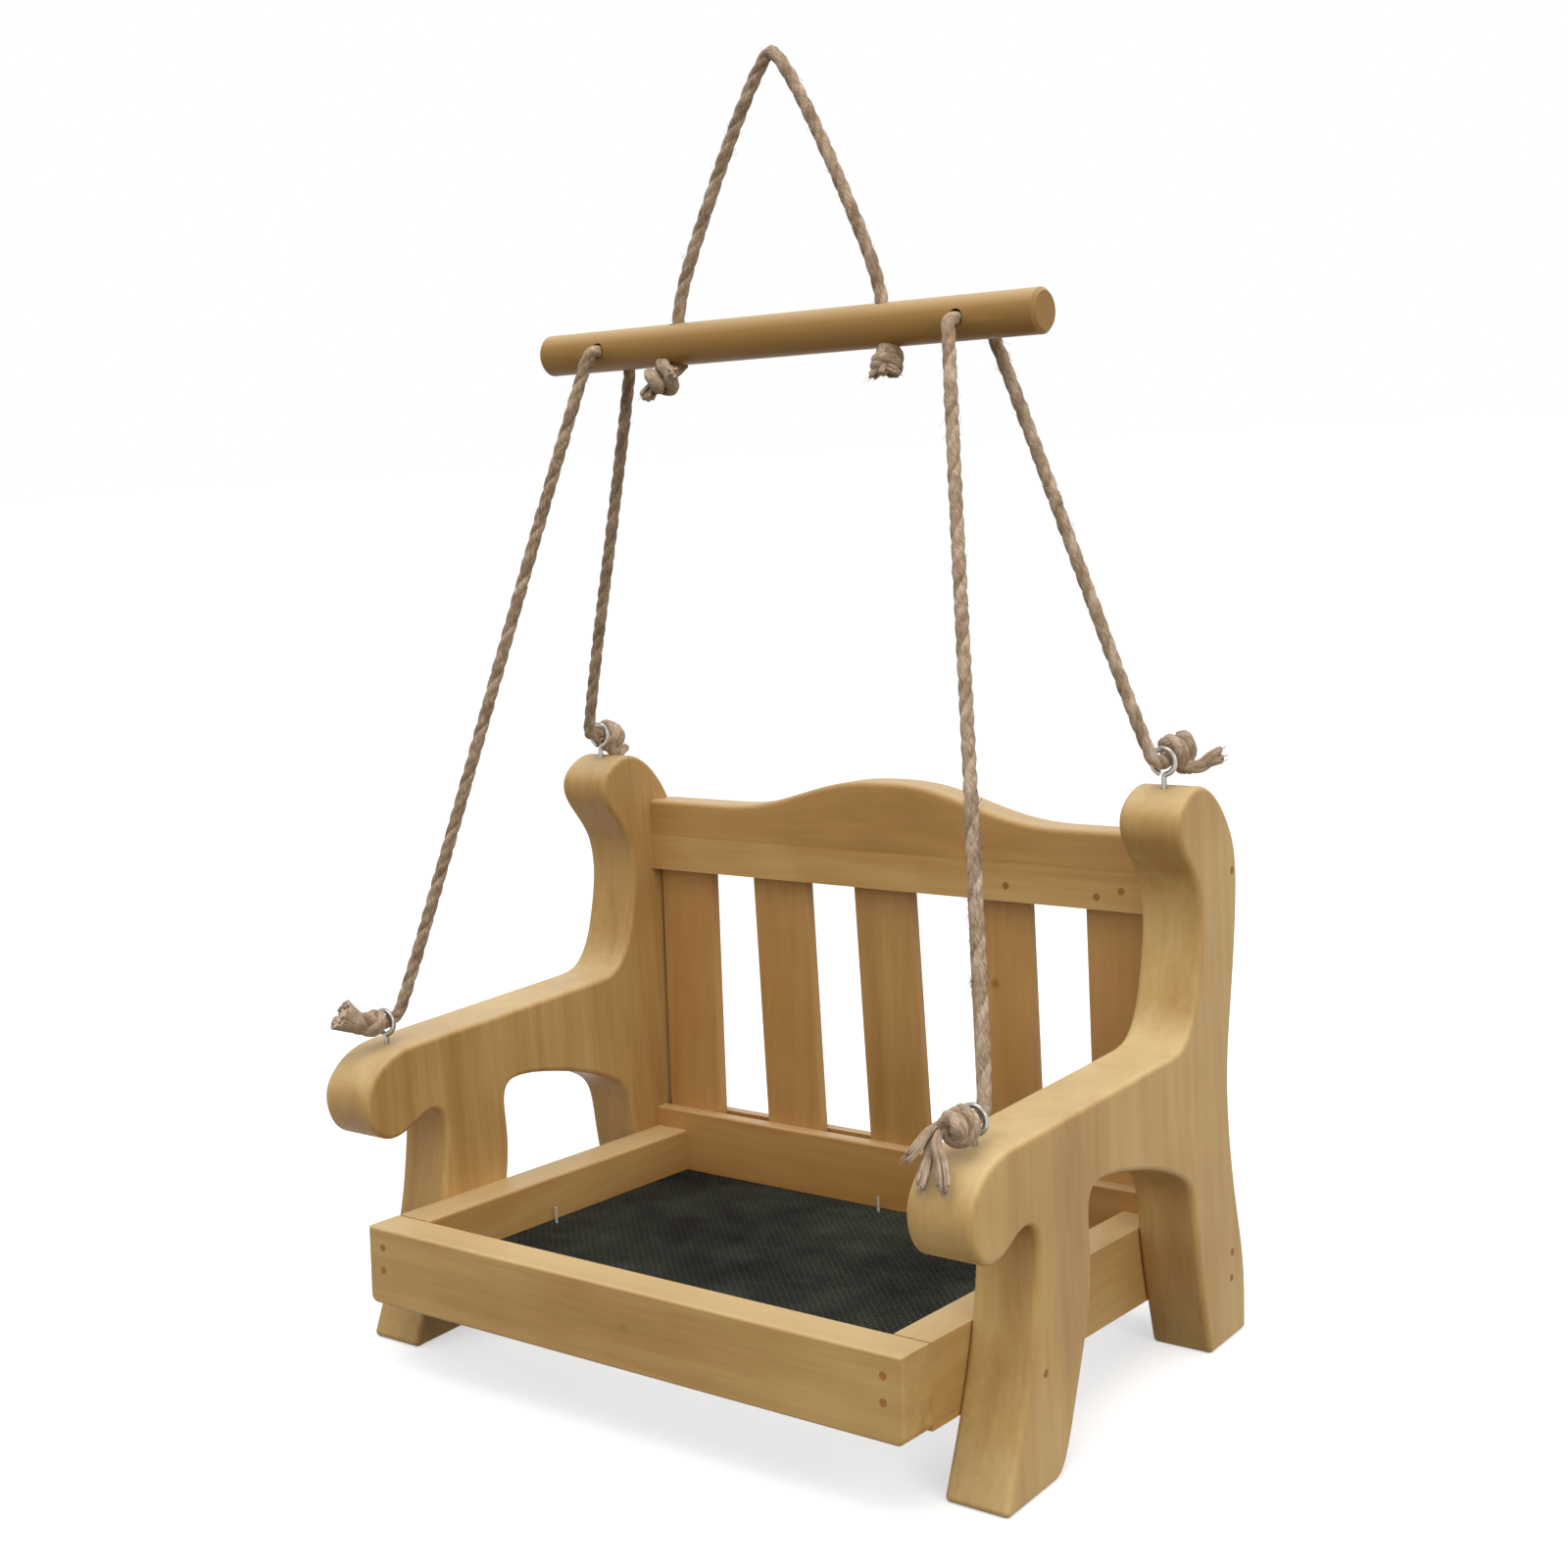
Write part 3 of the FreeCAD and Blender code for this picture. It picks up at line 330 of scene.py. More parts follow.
bright_steel = steel("Zinc-plated drawn steel wire", "#aaa8a2", 0.30)
brown_steel = steel("Dulled steel brad heads", "#8a6038", 0.6)
finish("mesh_staples", steel("Tinned staple wire", "#d8d6d0", 0.58))
for node in ("tray_brads", "side_panel_brads", "crest_brads"):
    finish(node, brown_steel)
print("steel on staples and brads")

# %% [markdown]
# ## A frame that travels along a path
# Rope strands, yarns, screw eyes, frayed fibres and mesh wires are all tubes that follow a
# path. A tube needs to know which way is sideways at each point. Taking that from the world's
# axes would make it spin where the path turns, so the side direction is carried from point to
# point and only leans as far as the path itself turns, which is called parallel transport.

# %% Carried frames
def carried_frames(points):
    """A (side, up) pair at every point, turned no more than the path itself turns."""
    runs = [(b - a).normalized() for a, b in zip(points, points[1:])]
    middles = [(a + b).normalized() for a, b in zip(runs, runs[1:])]
    side = runs[0].orthogonal().normalized()
    pairs = []
    for number, tangent in enumerate([runs[0]] + middles + [runs[-1]]):
        if number:
            side = (side - tangent * side.dot(tangent)).normalized()
        pairs.append((side, tangent.cross(side)))
    return pairs


print("frames ready")

# %% [markdown]
# ## Sweeping a tube
# bmesh has no operator that draws a ring along a path, so this function lays a ring of
# vertices at every point, joins each ring to the next, and closes both ends. It also writes a
# UV map of metres along and turns around, because the rope's fibres wind with both.

# %% Sweep
def sweep(mesh, points, radii, sides=8, start=0.0, lobes=0.0):
    """Adds one closed tube to a bmesh. lobes dents the section, as twisted yarns do."""
    uv = mesh.loops.layers.uv.verify()
    travelled = [start]
    for a, b in zip(points, points[1:]):
        travelled.append(travelled[-1] + (b - a).length)
    rings = []
    for point, (side, up), radius, distance in zip(points, carried_frames(points), radii, travelled):
        ring = []
        for k in range(sides):
            angle = 2 * math.pi * k / sides
            reach = radius * (1 + lobes * math.cos(3 * angle + distance * 900))
            out = side * (reach * math.cos(angle)) + up * (reach * math.sin(angle))
            ring.append(mesh.verts.new(point + out))
        rings.append(ring)
    for number, (low, high) in enumerate(zip(rings, rings[1:])):
        for k in range(sides):
            following = (k + 1) % sides
            face = mesh.faces.new((low[k], low[following], high[following], high[k]))
            face.smooth = True
            corners = ((number, k), (number, k + 1), (number + 1, k + 1), (number + 1, k))
            for loop, (along, around) in zip(face.loops, corners):
                loop[uv].uv = (travelled[along], around / sides)
    mesh.faces.new(rings[0][::-1])
    mesh.faces.new(rings[-1])


print("sweep ready")

# %% [markdown]
# ## From a bmesh to a piece
# Each finished bmesh becomes one object. It sits at the origin with its place in its mesh, as
# the CAD pieces do. The bench has no joints, so every piece rides the one rigid body.

# %% Make a piece
def piece_from(mesh, name, material):
    """Turns a bmesh into an object that rides the one rigid body."""
    data = bpy.data.meshes.new(name)
    mesh.to_mesh(data)
    mesh.free()
    data.materials.append(material)
    piece = bpy.data.objects.new(name, data)
    bpy.context.scene.collection.objects.link(piece)
    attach(piece, "root")
    return piece


print("pieces ride root")

# %% [markdown]
# ## Smooth paths
# A handful of corners describes a route well, but a rope doesn't turn at a point. A NURBS
# spline with those corners as its control points gives the smooth line, and Blender works it
# out: a curve object without a bevel turns into a mesh of points along it. The order and the
# end point setting come after the points are added, because set before they don't hold.
# A heavier control point draws the line nearer to itself. The points are then spaced evenly.

# %% Paths
def resample(points, spacing):
    """Even steps along a polyline."""
    result = [points[0].copy()]
    left = spacing
    for a, b in zip(points, points[1:]):
        length = (b - a).length
        position = left
        while position < length:
            result.append(a.lerp(b, position / length))
            position += spacing
        left = position - length
    if (result[-1] - points[-1]).length > spacing * 0.3:
        result.append(points[-1].copy())
    return result


def smooth_path(corners, spacing=0.0008, pull=None):
    """Points of a NURBS spline whose control points are the corners. pull is each one's weight."""
    curve = bpy.data.curves.new("route", "CURVE")
    curve.dimensions = "3D"
    spline = curve.splines.new("NURBS")
    spline.points.add(len(corners) - 1)
    for control, corner, weight in zip(spline.points, corners, pull or [1] * len(corners)):
        control.co = (*corner, weight)
    spline.order_u = 3
    spline.use_endpoint_u = True
    curve.resolution_u = 24
    holder = bpy.data.objects.new("route", curve)
    line = bpy.data.meshes.new_from_object(holder)
    points = [vertex.co.copy() for vertex in line.vertices]
    bpy.data.objects.remove(holder)
    return resample(points, spacing)


print("paths ready")

# %% [markdown]
# ## Jute
# Jute is dull, brown-grey and hairy. Each strand is spun from fine yarns, so the finish draws
# thin streaks that wind round the strand. Noise on a flat UV map would show a join where the
# turn begins again, so the turn is first laid out as a circle. A slower noise in object space
# keeps the rope from looking printed. The whole metres of the UV map tell the strand, and each
# strand has a tone of its own, so that the lay still shows as slanting bands where the rope
# is pressed smooth.

# %% Jute finish
JUTE_TONES = [(0.30, "#66503a"), (0.46, "#9a7f63"), (0.58, "#bda388"), (0.72, "#dccab3")]
FIBRE_TWIST = 95.0
STRAND_STEP = -0.045


def jute(name, shift=0.0):
    """shift makes a rope lighter or darker."""
    material, tree, shader = new_material(name)
    uv = add(tree, "ShaderNodeTexCoord").outputs["UV"]
    parts = add(tree, "ShaderNodeSeparateXYZ", {0: uv}).outputs
    wound = add(tree, "ShaderNodeMath", {0: parts[0], 1: FIBRE_TWIST, 2: parts[1]},
                operation="MULTIPLY_ADD").outputs[0]
    angle = add(tree, "ShaderNodeMath", {0: wound, 1: 2 * math.pi}, operation="MULTIPLY").outputs[0]
    round_x = add(tree, "ShaderNodeMath", {0: angle}, operation="COSINE").outputs[0]
    round_y = add(tree, "ShaderNodeMath", {0: angle}, operation="SINE").outputs[0]
    along = add(tree, "ShaderNodeMath", {0: parts[0], 1: 90.0}, operation="MULTIPLY").outputs[0]
    circle = add(tree, "ShaderNodeCombineXYZ", {0: round_x, 1: round_y, 2: along}).outputs[0]
    fibres = add(tree, "ShaderNodeTexNoise", {"Vector": circle, "Scale": 5.5, "Detail": 4.0,
                                              "Roughness": 0.7}).outputs["Fac"]
    place = add(tree, "ShaderNodeTexCoord").outputs["Object"]
    patch = add(tree, "ShaderNodeTexNoise", {"Vector": place, "Scale": 260.0, "Detail": 2.0})
    blend = add(tree, "ShaderNodeMath", {0: patch.outputs["Fac"], 1: 0.35, 2: fibres},
                operation="MULTIPLY_ADD").outputs[0]
    metre = add(tree, "ShaderNodeMath", {0: parts[0]}, operation="FLOOR").outputs[0]
    strand = add(tree, "ShaderNodeMath", {0: metre, 1: 3.0}, operation="MODULO").outputs[0]
    tones = add(tree, "ShaderNodeMath", {0: strand, 1: STRAND_STEP, 2: shift - 0.12},
                operation="MULTIPLY_ADD").outputs[0]
    toned = add(tree, "ShaderNodeMath", {0: blend, 1: tones}, operation="ADD").outputs[0]
    colour = add(tree, "ShaderNodeValToRGB", {"Fac": toned}, stops=JUTE_TONES).outputs["Color"]
    tree.links.new(colour, shader.inputs["Base Color"])
    shader.inputs["Roughness"].default_value = 0.9
    shader.inputs["Sheen Weight"].default_value = 0.25
    bump = add(tree, "ShaderNodeBump", {"Height": fibres, "Strength": 0.7, "Distance": 0.0004})
    tree.links.new(bump.outputs["Normal"], shader.inputs["Normal"])
    return material


# The right sling's lighter copy is painted light; the left sling's darker copy is painted shade.
jute_rope = {"left_sling_rope": jute("Three-strand twisted jute, in shade", shift=-0.05),
             "right_sling_rope": jute("Three-strand twisted jute, painted light", shift=0.02),
             "top_hanger_rope": jute("Three-strand twisted jute", shift=-0.02)}
jute_frayed = jute("Loose jute fibres", shift=0.0)
print("jute from", JUTE_TONES[0][1], "to", JUTE_TONES[-1][1])

# %% [markdown]
# ## Rope: three strands laid together
# Three strands wind round the rope's line. Round strands that only touch would leave deep
# valleys, and a stretched jute rope is pressed nearly round. So the strands are 0.61 of the
# rope's diameter thick and sink into each other. The lay, one full turn, is 16.5 mm, which
# gives the slanting bands of 5.5 mm that the eye counts.

# %% Lay the strands
ROPE = 0.0045
LAY = 0.0165
STRAND_RADIUS = 0.305 * ROPE
STRAND_OFFSET = 0.155 * ROPE


def lay_strands(mesh, points, turn=0.0, diameter=ROPE):
    """Three strands wound round a path, and where each ends. turn is the angle they start at."""
    distance = [0.0]
    for a, b in zip(points, points[1:]):
        distance.append(distance[-1] + (b - a).length)
    scale = diameter / ROPE
    ends = []
    for strand in range(3):
        line = []
        for point, (side, up), travelled in zip(points, carried_frames(points), distance):
            angle = turn + 2 * math.pi * (strand / 3 + travelled / LAY)
            line.append(point + (side * math.cos(angle) + up * math.sin(angle)) * STRAND_OFFSET * scale)
        sweep(mesh, line, [STRAND_RADIUS * scale] * len(line), sides=9, start=float(strand), lobes=0.03)
        ends.append((line[-1], (line[-1] - line[-2]).normalized()))
    return ends


print("strand radius mm", round(STRAND_RADIUS * 1000, 2))

# %% [markdown]
# ## Stray fibres
# Against a white background the eye knows jute by its hairs. A particle system would need to
# be turned into a mesh, so the hairs are swept like everything else: three sides, three
# points, leaving the rope at a shallow angle. Dice with a seed throw them, and the same seed
# gives the same hairs each time.

# %% Hairs
def hairs(mesh, points, count, reach, seed, span=(0.0, 1.0), width=0.00006):
    """Short fibres that leave the rope's surface, within a span of its length."""
    dice = random.Random(seed)
    pairs = carried_frames(points)
    for _ in range(count):
        number = int((len(points) - 6) * dice.uniform(*span)) + 2
        side, up = pairs[number]
        angle = dice.uniform(0, 2 * math.pi)
        out = side * math.cos(angle) + up * math.sin(angle)
        along = (points[number + 1] - points[number]).normalized() * dice.choice((-1, 1))
        root = points[number] + out * ROPE * 0.40
        length = dice.uniform(0.3, 1.0) * reach
        middle = root + (out * 0.45 + along * 0.8) * length * 0.5
        tip = root + (out * dice.uniform(0.1, 0.8) + along * dice.uniform(0.4, 1.0)) * length
        sweep(mesh, [root, middle, tip], [width, width * 0.8, width * 0.3], sides=3)


print("hairs ready")

# %% [markdown]
# ## The three ropes' routes
# Each side hangs in one sling: from its knot at the front eye, up and through the bar's level
# bore, and down to its knot at the rear eye. The top rope comes up through the bar, over the
# bend and down again. The corners are the CAD route's own, in metres. The top rope's legs
# leave the bar straight in the photograph, so its corners there weigh more.

# %% Lay the ropes
SLING = [(0.110, -0.0571, 0.10485), (0.110, -0.0523, 0.10485), (0.1094, -0.0484, 0.1077),
         (0.0679, 0.0144, 0.3089), (0.0674, 0.0176, 0.3112), (0.0674, 0.0344, 0.3112),
         (0.0684, 0.0378, 0.3083), (0.109, 0.0472, 0.1841), (0.110, 0.0508, 0.18105),
         (0.110, 0.0556, 0.18105)]
HANGER = [(-0.0392, 0.026, 0.3044), (-0.0392, 0.026, 0.323), (-0.0018, 0.026, 0.3932),
          (0.0088, 0.026, 0.3932), (0.0392, 0.026, 0.323), (0.0392, 0.026, 0.3044)]
ROUTES = {
    "left_sling_rope": dict(corners=[(-x, y, z) for x, y, z in SLING], hair_count=420),
    "right_sling_rope": dict(corners=SLING, hair_count=420),
    "top_hanger_rope": dict(corners=HANGER, hair_count=160, pull=(1, 3.0, 1.6, 1.6, 3.0, 1)),
}
for number, (name, route) in enumerate(ROUTES.items()):
    points = smooth_path(route["corners"], pull=route.get("pull"))
    mesh = bmesh.new()
    lay_strands(mesh, points, turn=0.7 * number)
    rope = piece_from(mesh, "laid_" + name, jute_rope[name])
    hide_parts(name)
    mesh = bmesh.new()
    hairs(mesh, points, route["hair_count"], 0.0034, number)
    if name == "right_sling_rope":
        # The stretch that hangs before the crest is worn and fuzzier.
        hairs(mesh, points, 150, 0.0052, 7, span=(0.09, 0.23), width=0.00009)
    piece_from(mesh, "stray_fibres_" + name, jute_frayed)

# %% [markdown]
# ## Knots
# Each rope end stops in an overhand knot that bears on the screw eye's ring or on the bar. A
# tight knot is hard to model as one lump, because the eye looks for the rope going over and
# under itself. So the strands are laid again along a short path: in along the axis, round
# itself nearly once and a half, and out. Rope that isn't stretched swells a little, so the
# knots are tied in 5 mm rope.

# %% Path of a knot
KNOT_DEPTH = 0.0092
KNOT_RADIUS = 0.0037
KNOT_TURNS = 1.45


def knot_path(face, axis, across, size, exit_way):
    """Corners of a knot: down the axis from face, round it and back up, then out."""
    axis = Vector(axis).normalized()
    side = Vector(across)
    side = (side - axis * side.dot(axis)).normalized()
    up = axis.cross(side)
    depth = KNOT_DEPTH * size
    radius = KNOT_RADIUS * size
    corners = [face - axis * 0.002, face + axis * depth * 0.30, face + axis * depth * 0.75]
    for k in range(9):
        share = k / 8
        angle = 2 * math.pi * KNOT_TURNS * share
        out = radius * (0.75 + 0.25 * min(1, share * 3))
        corners.append(face + axis * depth * (0.95 - 0.66 * share)
                       + (side * math.cos(angle) + up * math.sin(angle)) * out)
    corners.append(corners[-1] + Vector(exit_way).normalized() * 0.004)
    return corners


print("knot mm deep", 1000 * KNOT_DEPTH, "and round", 2000 * KNOT_RADIUS)

# %% [markdown]
# ## Frayed ends
# Beyond the knot each strand opens into its yarns. They stay in a bundle, bend towards the
# place where the real tail ends, and stop unevenly. From the tip a few single fibres stand
# out. The yarns are drawn a little thicker than real ones, so that they still show.

# %% Open a strand
YARN = 0.00058


def open_strand(mesh, root, way, tip, spread, blunt, yarns, dice):
    """One strand's yarns from root to tip: packed where they start, spread where they end."""
    reach = (tip - root).length
    line = (tip - root).normalized()
    side = line.orthogonal().normalized()
    up = line.cross(side)
    for number in range(yarns):
        angle = 2 * math.pi * number / max(1, yarns - 1) + dice.uniform(-0.4, 0.4)
        far = 0.0 if number == 0 else 1.0
        out = (side * math.cos(angle) + up * math.sin(angle)) * far
        start = root + out * 0.0007
        end = tip + out * spread * math.sqrt(dice.uniform(0.15, 1.3))
        end += line * reach * dice.uniform(-0.10, 0.04)
        path = smooth_path([start - way * 0.001, start + way * reach * 0.28,
                            start.lerp(end, 0.68) + out * 0.0003, end], spacing=reach / 9)
        width = YARN * dice.uniform(0.85, 1.15)
        radii = [width * (1 - (1 - blunt) * (k / len(path)) ** 3) for k in range(len(path))]
        sweep(mesh, path, radii, sides=6)


def brush(mesh, tip, line, count, length, dice):
    """Loose fibres that stand out of a strand's end."""
    for _ in range(count):
        scatter = Vector([dice.uniform(-1, 1) for _ in range(3)])
        start = tip - line * length * 0.6 + scatter * 0.0007
        end = tip + line * length * dice.uniform(0.2, 1) + scatter * length * 0.35
        middle = start.lerp(end, 0.5) + scatter * 0.0002
        sweep(mesh, [start, middle, end], [0.0001, 0.00008, 0.00003], sides=3)


print("yarn mm thick", round(2000 * YARN, 2))

# %% [markdown]
# ## A flared end
# The front left end isn't split into strands. It opens like a horn, with its yarns side by
# side. Rings of yarns follow a bent route, and each ring's radius grows towards the mouth.

# %% Open a horn
HORN_WAIST, HORN_MOUTH = 0.0022, 0.0048
HORN_YARNS = 30


def open_horn(mesh, route, dice):
    """Rings of yarns that part along a bent route."""
    points = smooth_path(route, spacing=0.0012)
    pairs = carried_frames(points)
    rings = ((1.0, HORN_YARNS), (0.68, HORN_YARNS * 2 // 3), (0.34, HORN_YARNS // 3))
    for share, count in rings:
        for number in range(count):
            angle = 2 * math.pi * (number + dice.uniform(-0.2, 0.2)) / count
            last = len(points) - 1 - dice.choice((0, 0, 0, 1))
            path = []
            for k in range(last + 1):
                side, up = pairs[k]
                opened = (k / (len(points) - 1)) ** 1.7
                reach = share * (HORN_WAIST + (HORN_MOUTH - HORN_WAIST) * opened)
                wound = angle + 0.05 * k
                path.append(points[k] + (side * math.cos(wound) + up * math.sin(wound)) * reach)
            sweep(mesh, path, [YARN * dice.uniform(0.95, 1.15)] * len(path), sides=6)


print("horn mm across its mouth", 2000 * HORN_MOUTH)

# %% [markdown]
# ## Tie the six knots
# The six differ, as hand-tied ones do. Every row gives the face that the knot bears on, the
# way it points, its size and where its three strands end, in metres from that face: a flared
# horn at the front left, long tails that hang over the arm's scroll at the front right, a
# blunt tail and a hooked one at the back, and two short ruffled ends under the bar.

# %% Six knots
KNOTS = {
    "knot_front_left": dict(
        face=(-0.110, -0.0571, 0.10485), axis=(0.1, -0.95, 0.25), across=(0, 0, 1), size=0.74,
        exit_way=(-0.5, -0.8, 0.2), spread=0.0010, blunt=0.9, yarns=5, fibres=5,
        tips=((-0.0038, -0.0090, 0.0054), (-0.0056, -0.0098, 0.0028), (-0.0042, -0.0100, 0.0042)),
        horn=((0.0, -0.0030, 0.0010), (-0.0018, -0.0068, 0.0012), (-0.0042, -0.0092, 0.0026),
              (-0.0060, -0.0120, 0.0052))),
    "knot_front_right": dict(
        face=(0.110, -0.0571, 0.10485), axis=(0, -1, 0), across=(1, 0, 0), size=1.08,
        exit_way=(-0.2, -0.8, -0.3), spread=0.0014, blunt=0.6, yarns=11, fibres=14,
        tips=((-0.0082, -0.0185, -0.0062), (-0.0038, -0.0195, -0.0128), (0.0030, -0.0192, -0.0126))),
    "knot_rear_left": dict(
        face=(-0.110, 0.0556, 0.18105), axis=(-0.30, 0.92, -0.20), across=(0, 0, 1), size=1.12,
        exit_way=(0.3, 0.6, -0.7), spread=0.0008, blunt=0.9, yarns=9, fibres=4,
        tips=((0.0010, 0.0090, -0.0052), (-0.0008, 0.0098, -0.0056), (0.0020, 0.0110, -0.0060))),
    "knot_rear_right": dict(
        face=(0.110, 0.0556, 0.18105), axis=(0.10, 0.92, 0.36), across=(0, 0, 1), size=1.16,
        exit_way=(0.8, 0.6, 0.0), spread=0.0008, blunt=0.95, yarns=9, fibres=5,
        tips=((0.0122, 0.0116, 0.0022), (0.0116, 0.0128, 0.0000), (0.0134, 0.0112, -0.0004))),
    "knot_hanger_left": dict(
        face=(-0.0392, 0.026, 0.3044), axis=(-0.45, -0.70, -0.55), across=(1, 0, 0), size=1.22,
        exit_way=(-0.3, -0.2, -0.9), spread=0.0012, blunt=0.85, yarns=9, fibres=4,
        tips=((-0.0080, -0.0094, -0.0086), (-0.0058, -0.0090, -0.0098), (0.0050, -0.0082, -0.0018))),
    "knot_hanger_right": dict(
        face=(0.0392, 0.026, 0.3044), axis=(0.40, -0.56, -0.74), across=(0, 1, 0), size=0.94,
        exit_way=(0.3, -0.2, -0.9), spread=0.0008, blunt=0.8, yarns=8, fibres=5,
        tips=((0.0078, -0.0060, -0.0074), (-0.0012, -0.0068, -0.0082), (0.0036, -0.0078, -0.0074))),
}
KNOTTED_ROPE = 0.0050
for seed, (name, tied) in enumerate(KNOTS.items()):
    dice = random.Random(seed)
    face = Vector(tied["face"])
    points = smooth_path(knot_path(face, tied["axis"], tied["across"], tied["size"], tied["exit_way"]))
    mesh = bmesh.new()
    ends = lay_strands(mesh, points, turn=seed, diameter=KNOTTED_ROPE)
    for (root, way), offset in zip(ends, tied["tips"]):
        tip = face + Vector(offset)
        open_strand(mesh, root, way, tip, tied["spread"], tied["blunt"], tied["yarns"], dice)
        brush(mesh, tip, (tip - root).normalized(), tied["fibres"], 0.0026, dice)
    if "horn" in tied:
        open_horn(mesh, [face + Vector(corner) for corner in tied["horn"]], dice)
    piece_from(mesh, "tied_" + name, jute_frayed)
    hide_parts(name)

# %% [markdown]
# Both slings start at the front eye and pass through the bar to the rear eye; the top rope starts
# under the bar and comes back.

# %% [markdown]
# ## Screw eyes bent from wire
# CAD gives each screw eye a closed ring on a straight neck. The real one is a single wire whose
# ring almost closes above a threaded shank. A swept path shows that: up the shank, a small jog,
# and round the ring until its end nearly meets the neck again. The eye's own CAD box gives its
# foot and its top, so that the bent one stands in the same place.

# %% Screw eyes
EYES = {"screw_eye_front_left": -0.110, "screw_eye_front_right": 0.110,
        "screw_eye_rear_left": -0.110, "screw_eye_rear_right": 0.110}
WIRE = 0.00085
RING = 0.0038
for name, x in EYES.items():
    box_low, box_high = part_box(name)
    y = (box_low[1] + box_high[1]) / 2
    centre = Vector((x, y, box_high[2] - WIRE - RING))
    corners = [Vector((x, y, box_low[2])), Vector((x, y, centre.z - RING - 0.0014)),
               Vector((x + 0.0002, y, centre.z - RING - 0.0004))]
    for k in range(17):
        angle = math.radians(-84 + 336 * k / 16)
        corners.append(centre + Vector((math.cos(angle), 0, math.sin(angle))) * RING * 1.012)
    mesh = bmesh.new()
    line = smooth_path(corners, spacing=0.0005)
    sweep(mesh, line, [WIRE] * len(line), sides=12)
    eye = piece_from(mesh, "bent_" + name, bright_steel)
    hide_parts(name)
print("bent", len(EYES), "screw eyes")

# %% [markdown]
# ## Black screen wire
# The floor is black coated window screen. The coating is matt and nearly black. Its colour
# drifts from near black to a greenish grey in patches of some 40 mm.

# %% Screen finish
black_mesh, tree, shader = new_material("Black coated screen wire")
place = add(tree, "ShaderNodeTexCoord").outputs["Object"]
colour_patches = add(tree, "ShaderNodeTexNoise", {"Vector": place, "Scale": 26.0, "Detail": 5.0,
                                        "Roughness": 0.65})
patch_colour = add(tree, "ShaderNodeValToRGB", {"Fac": colour_patches.outputs["Fac"]},
           stops=[(0.38, "#1b1b16"), (0.66, "#42463c")])
tree.links.new(patch_colour.outputs["Color"], shader.inputs["Base Color"])
shader.inputs["Roughness"].default_value = 0.68
shader.inputs["Specular IOR Level"].default_value = 0.25
print("screen wire finished")

# %% [markdown]
# ## The mesh floor
# The wires are 0.5 mm thick at a pitch of 1.4 mm and pass over and under each other. At that
# size a picture shows only a dark, slightly open weave, but real wires give it the right
# darkening at a low angle for free. They are woven in the tray's own sloping frame: each wire
# is a four-sided tube with one point at every crossing, up or down in turn.

# %% Weave the screen
PITCH = 0.0014
THICK = 0.00050
SLOPE = math.radians(3.5)
X_LOW, X_HIGH, Y_LOW, Y_HIGH = -0.0932, 0.0932, 0.0078, 0.1457
MESH_LEVEL = -0.0148
tray = Matrix.Translation((0, -0.0792, 0.0465)) @ Matrix.Rotation(-SLOPE, 4, "X")


def weave(name, lengthwise):
    """All the wires of one direction, waved up and down by two fifths of a wire."""
    mesh = bmesh.new()
    columns = int((X_HIGH - X_LOW) / PITCH)
    lines = int((Y_HIGH - Y_LOW) / PITCH)
    across, along = (lines, columns) if lengthwise else (columns, lines)
    for wire in range(across + 1):
        points = []
        for k in range(along + 1):
            column, line = (k, wire) if lengthwise else (wire, k)
            wave = (1 if (column + line) % 2 else -1) * (1 if lengthwise else -1)
            level = MESH_LEVEL + wave * THICK * 0.4
            points.append(tray @ Vector((X_LOW + column * PITCH, Y_LOW + line * PITCH, level)))
        sweep(mesh, points, [THICK / 2] * len(points), sides=4)
    return piece_from(mesh, name, black_mesh)


weft = weave("screen_weft", True)
warp = weave("screen_warp", False)
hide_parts("mesh_floor")
print("woven faces", len(weft.data.polygons), len(warp.data.polygons))

# %% [markdown]
# ## Sky
# The light on the real feeder is that of an even sky. The background is plain white, but a
# white world would light the bench a little too brightly. It can do both if it asks what kind
# of ray it meets. A ray from the camera, or one that steel or varnish mirrors, sees the white
# background, and every other ray gathers the softer light.

# %% World
def shown(tree):
    """1 for a ray that sees the background, straight from the camera or mirrored."""
    path = add(tree, "ShaderNodeLightPath").outputs
    seen = path["Is Camera Ray"]
    for kind in ("Is Glossy Ray", "Is Transmission Ray"):
        seen = add(tree, "ShaderNodeMath", {0: seen, 1: path[kind]}, operation="MAXIMUM").outputs[0]
    return seen


scene = bpy.context.scene
scene.view_settings.view_transform = "Standard"
world = bpy.data.worlds.new("Soft sky")
scene.world = world
world.use_nodes = True
sky = world.node_tree
sky.nodes.clear()
glow = add(sky, "ShaderNodeBackground", {"Color": linear("#f4f7fa"), "Strength": 0.90})
white = add(sky, "ShaderNodeBackground", {"Color": (1, 1, 1, 1), "Strength": 1.0})
mixed = add(sky, "ShaderNodeMixShader", {0: shown(sky), 1: glow.outputs[0], 2: white.outputs[0]})
add(sky, "ShaderNodeOutputWorld", {"Surface": mixed.outputs[0]})
print("sky ready")

# %% [markdown]
# ## Floor
# Tops are pale, fronts half as bright and undersides dark, because little light comes back from
# the ground. So the floor asks the same question as the sky. Where it is seen it is white
# paper, lifted by a little glow so that only the shadow of the feet stays. To every other ray
# it is dark ground. Its underside is clear, so that the bench can be looked at from below.

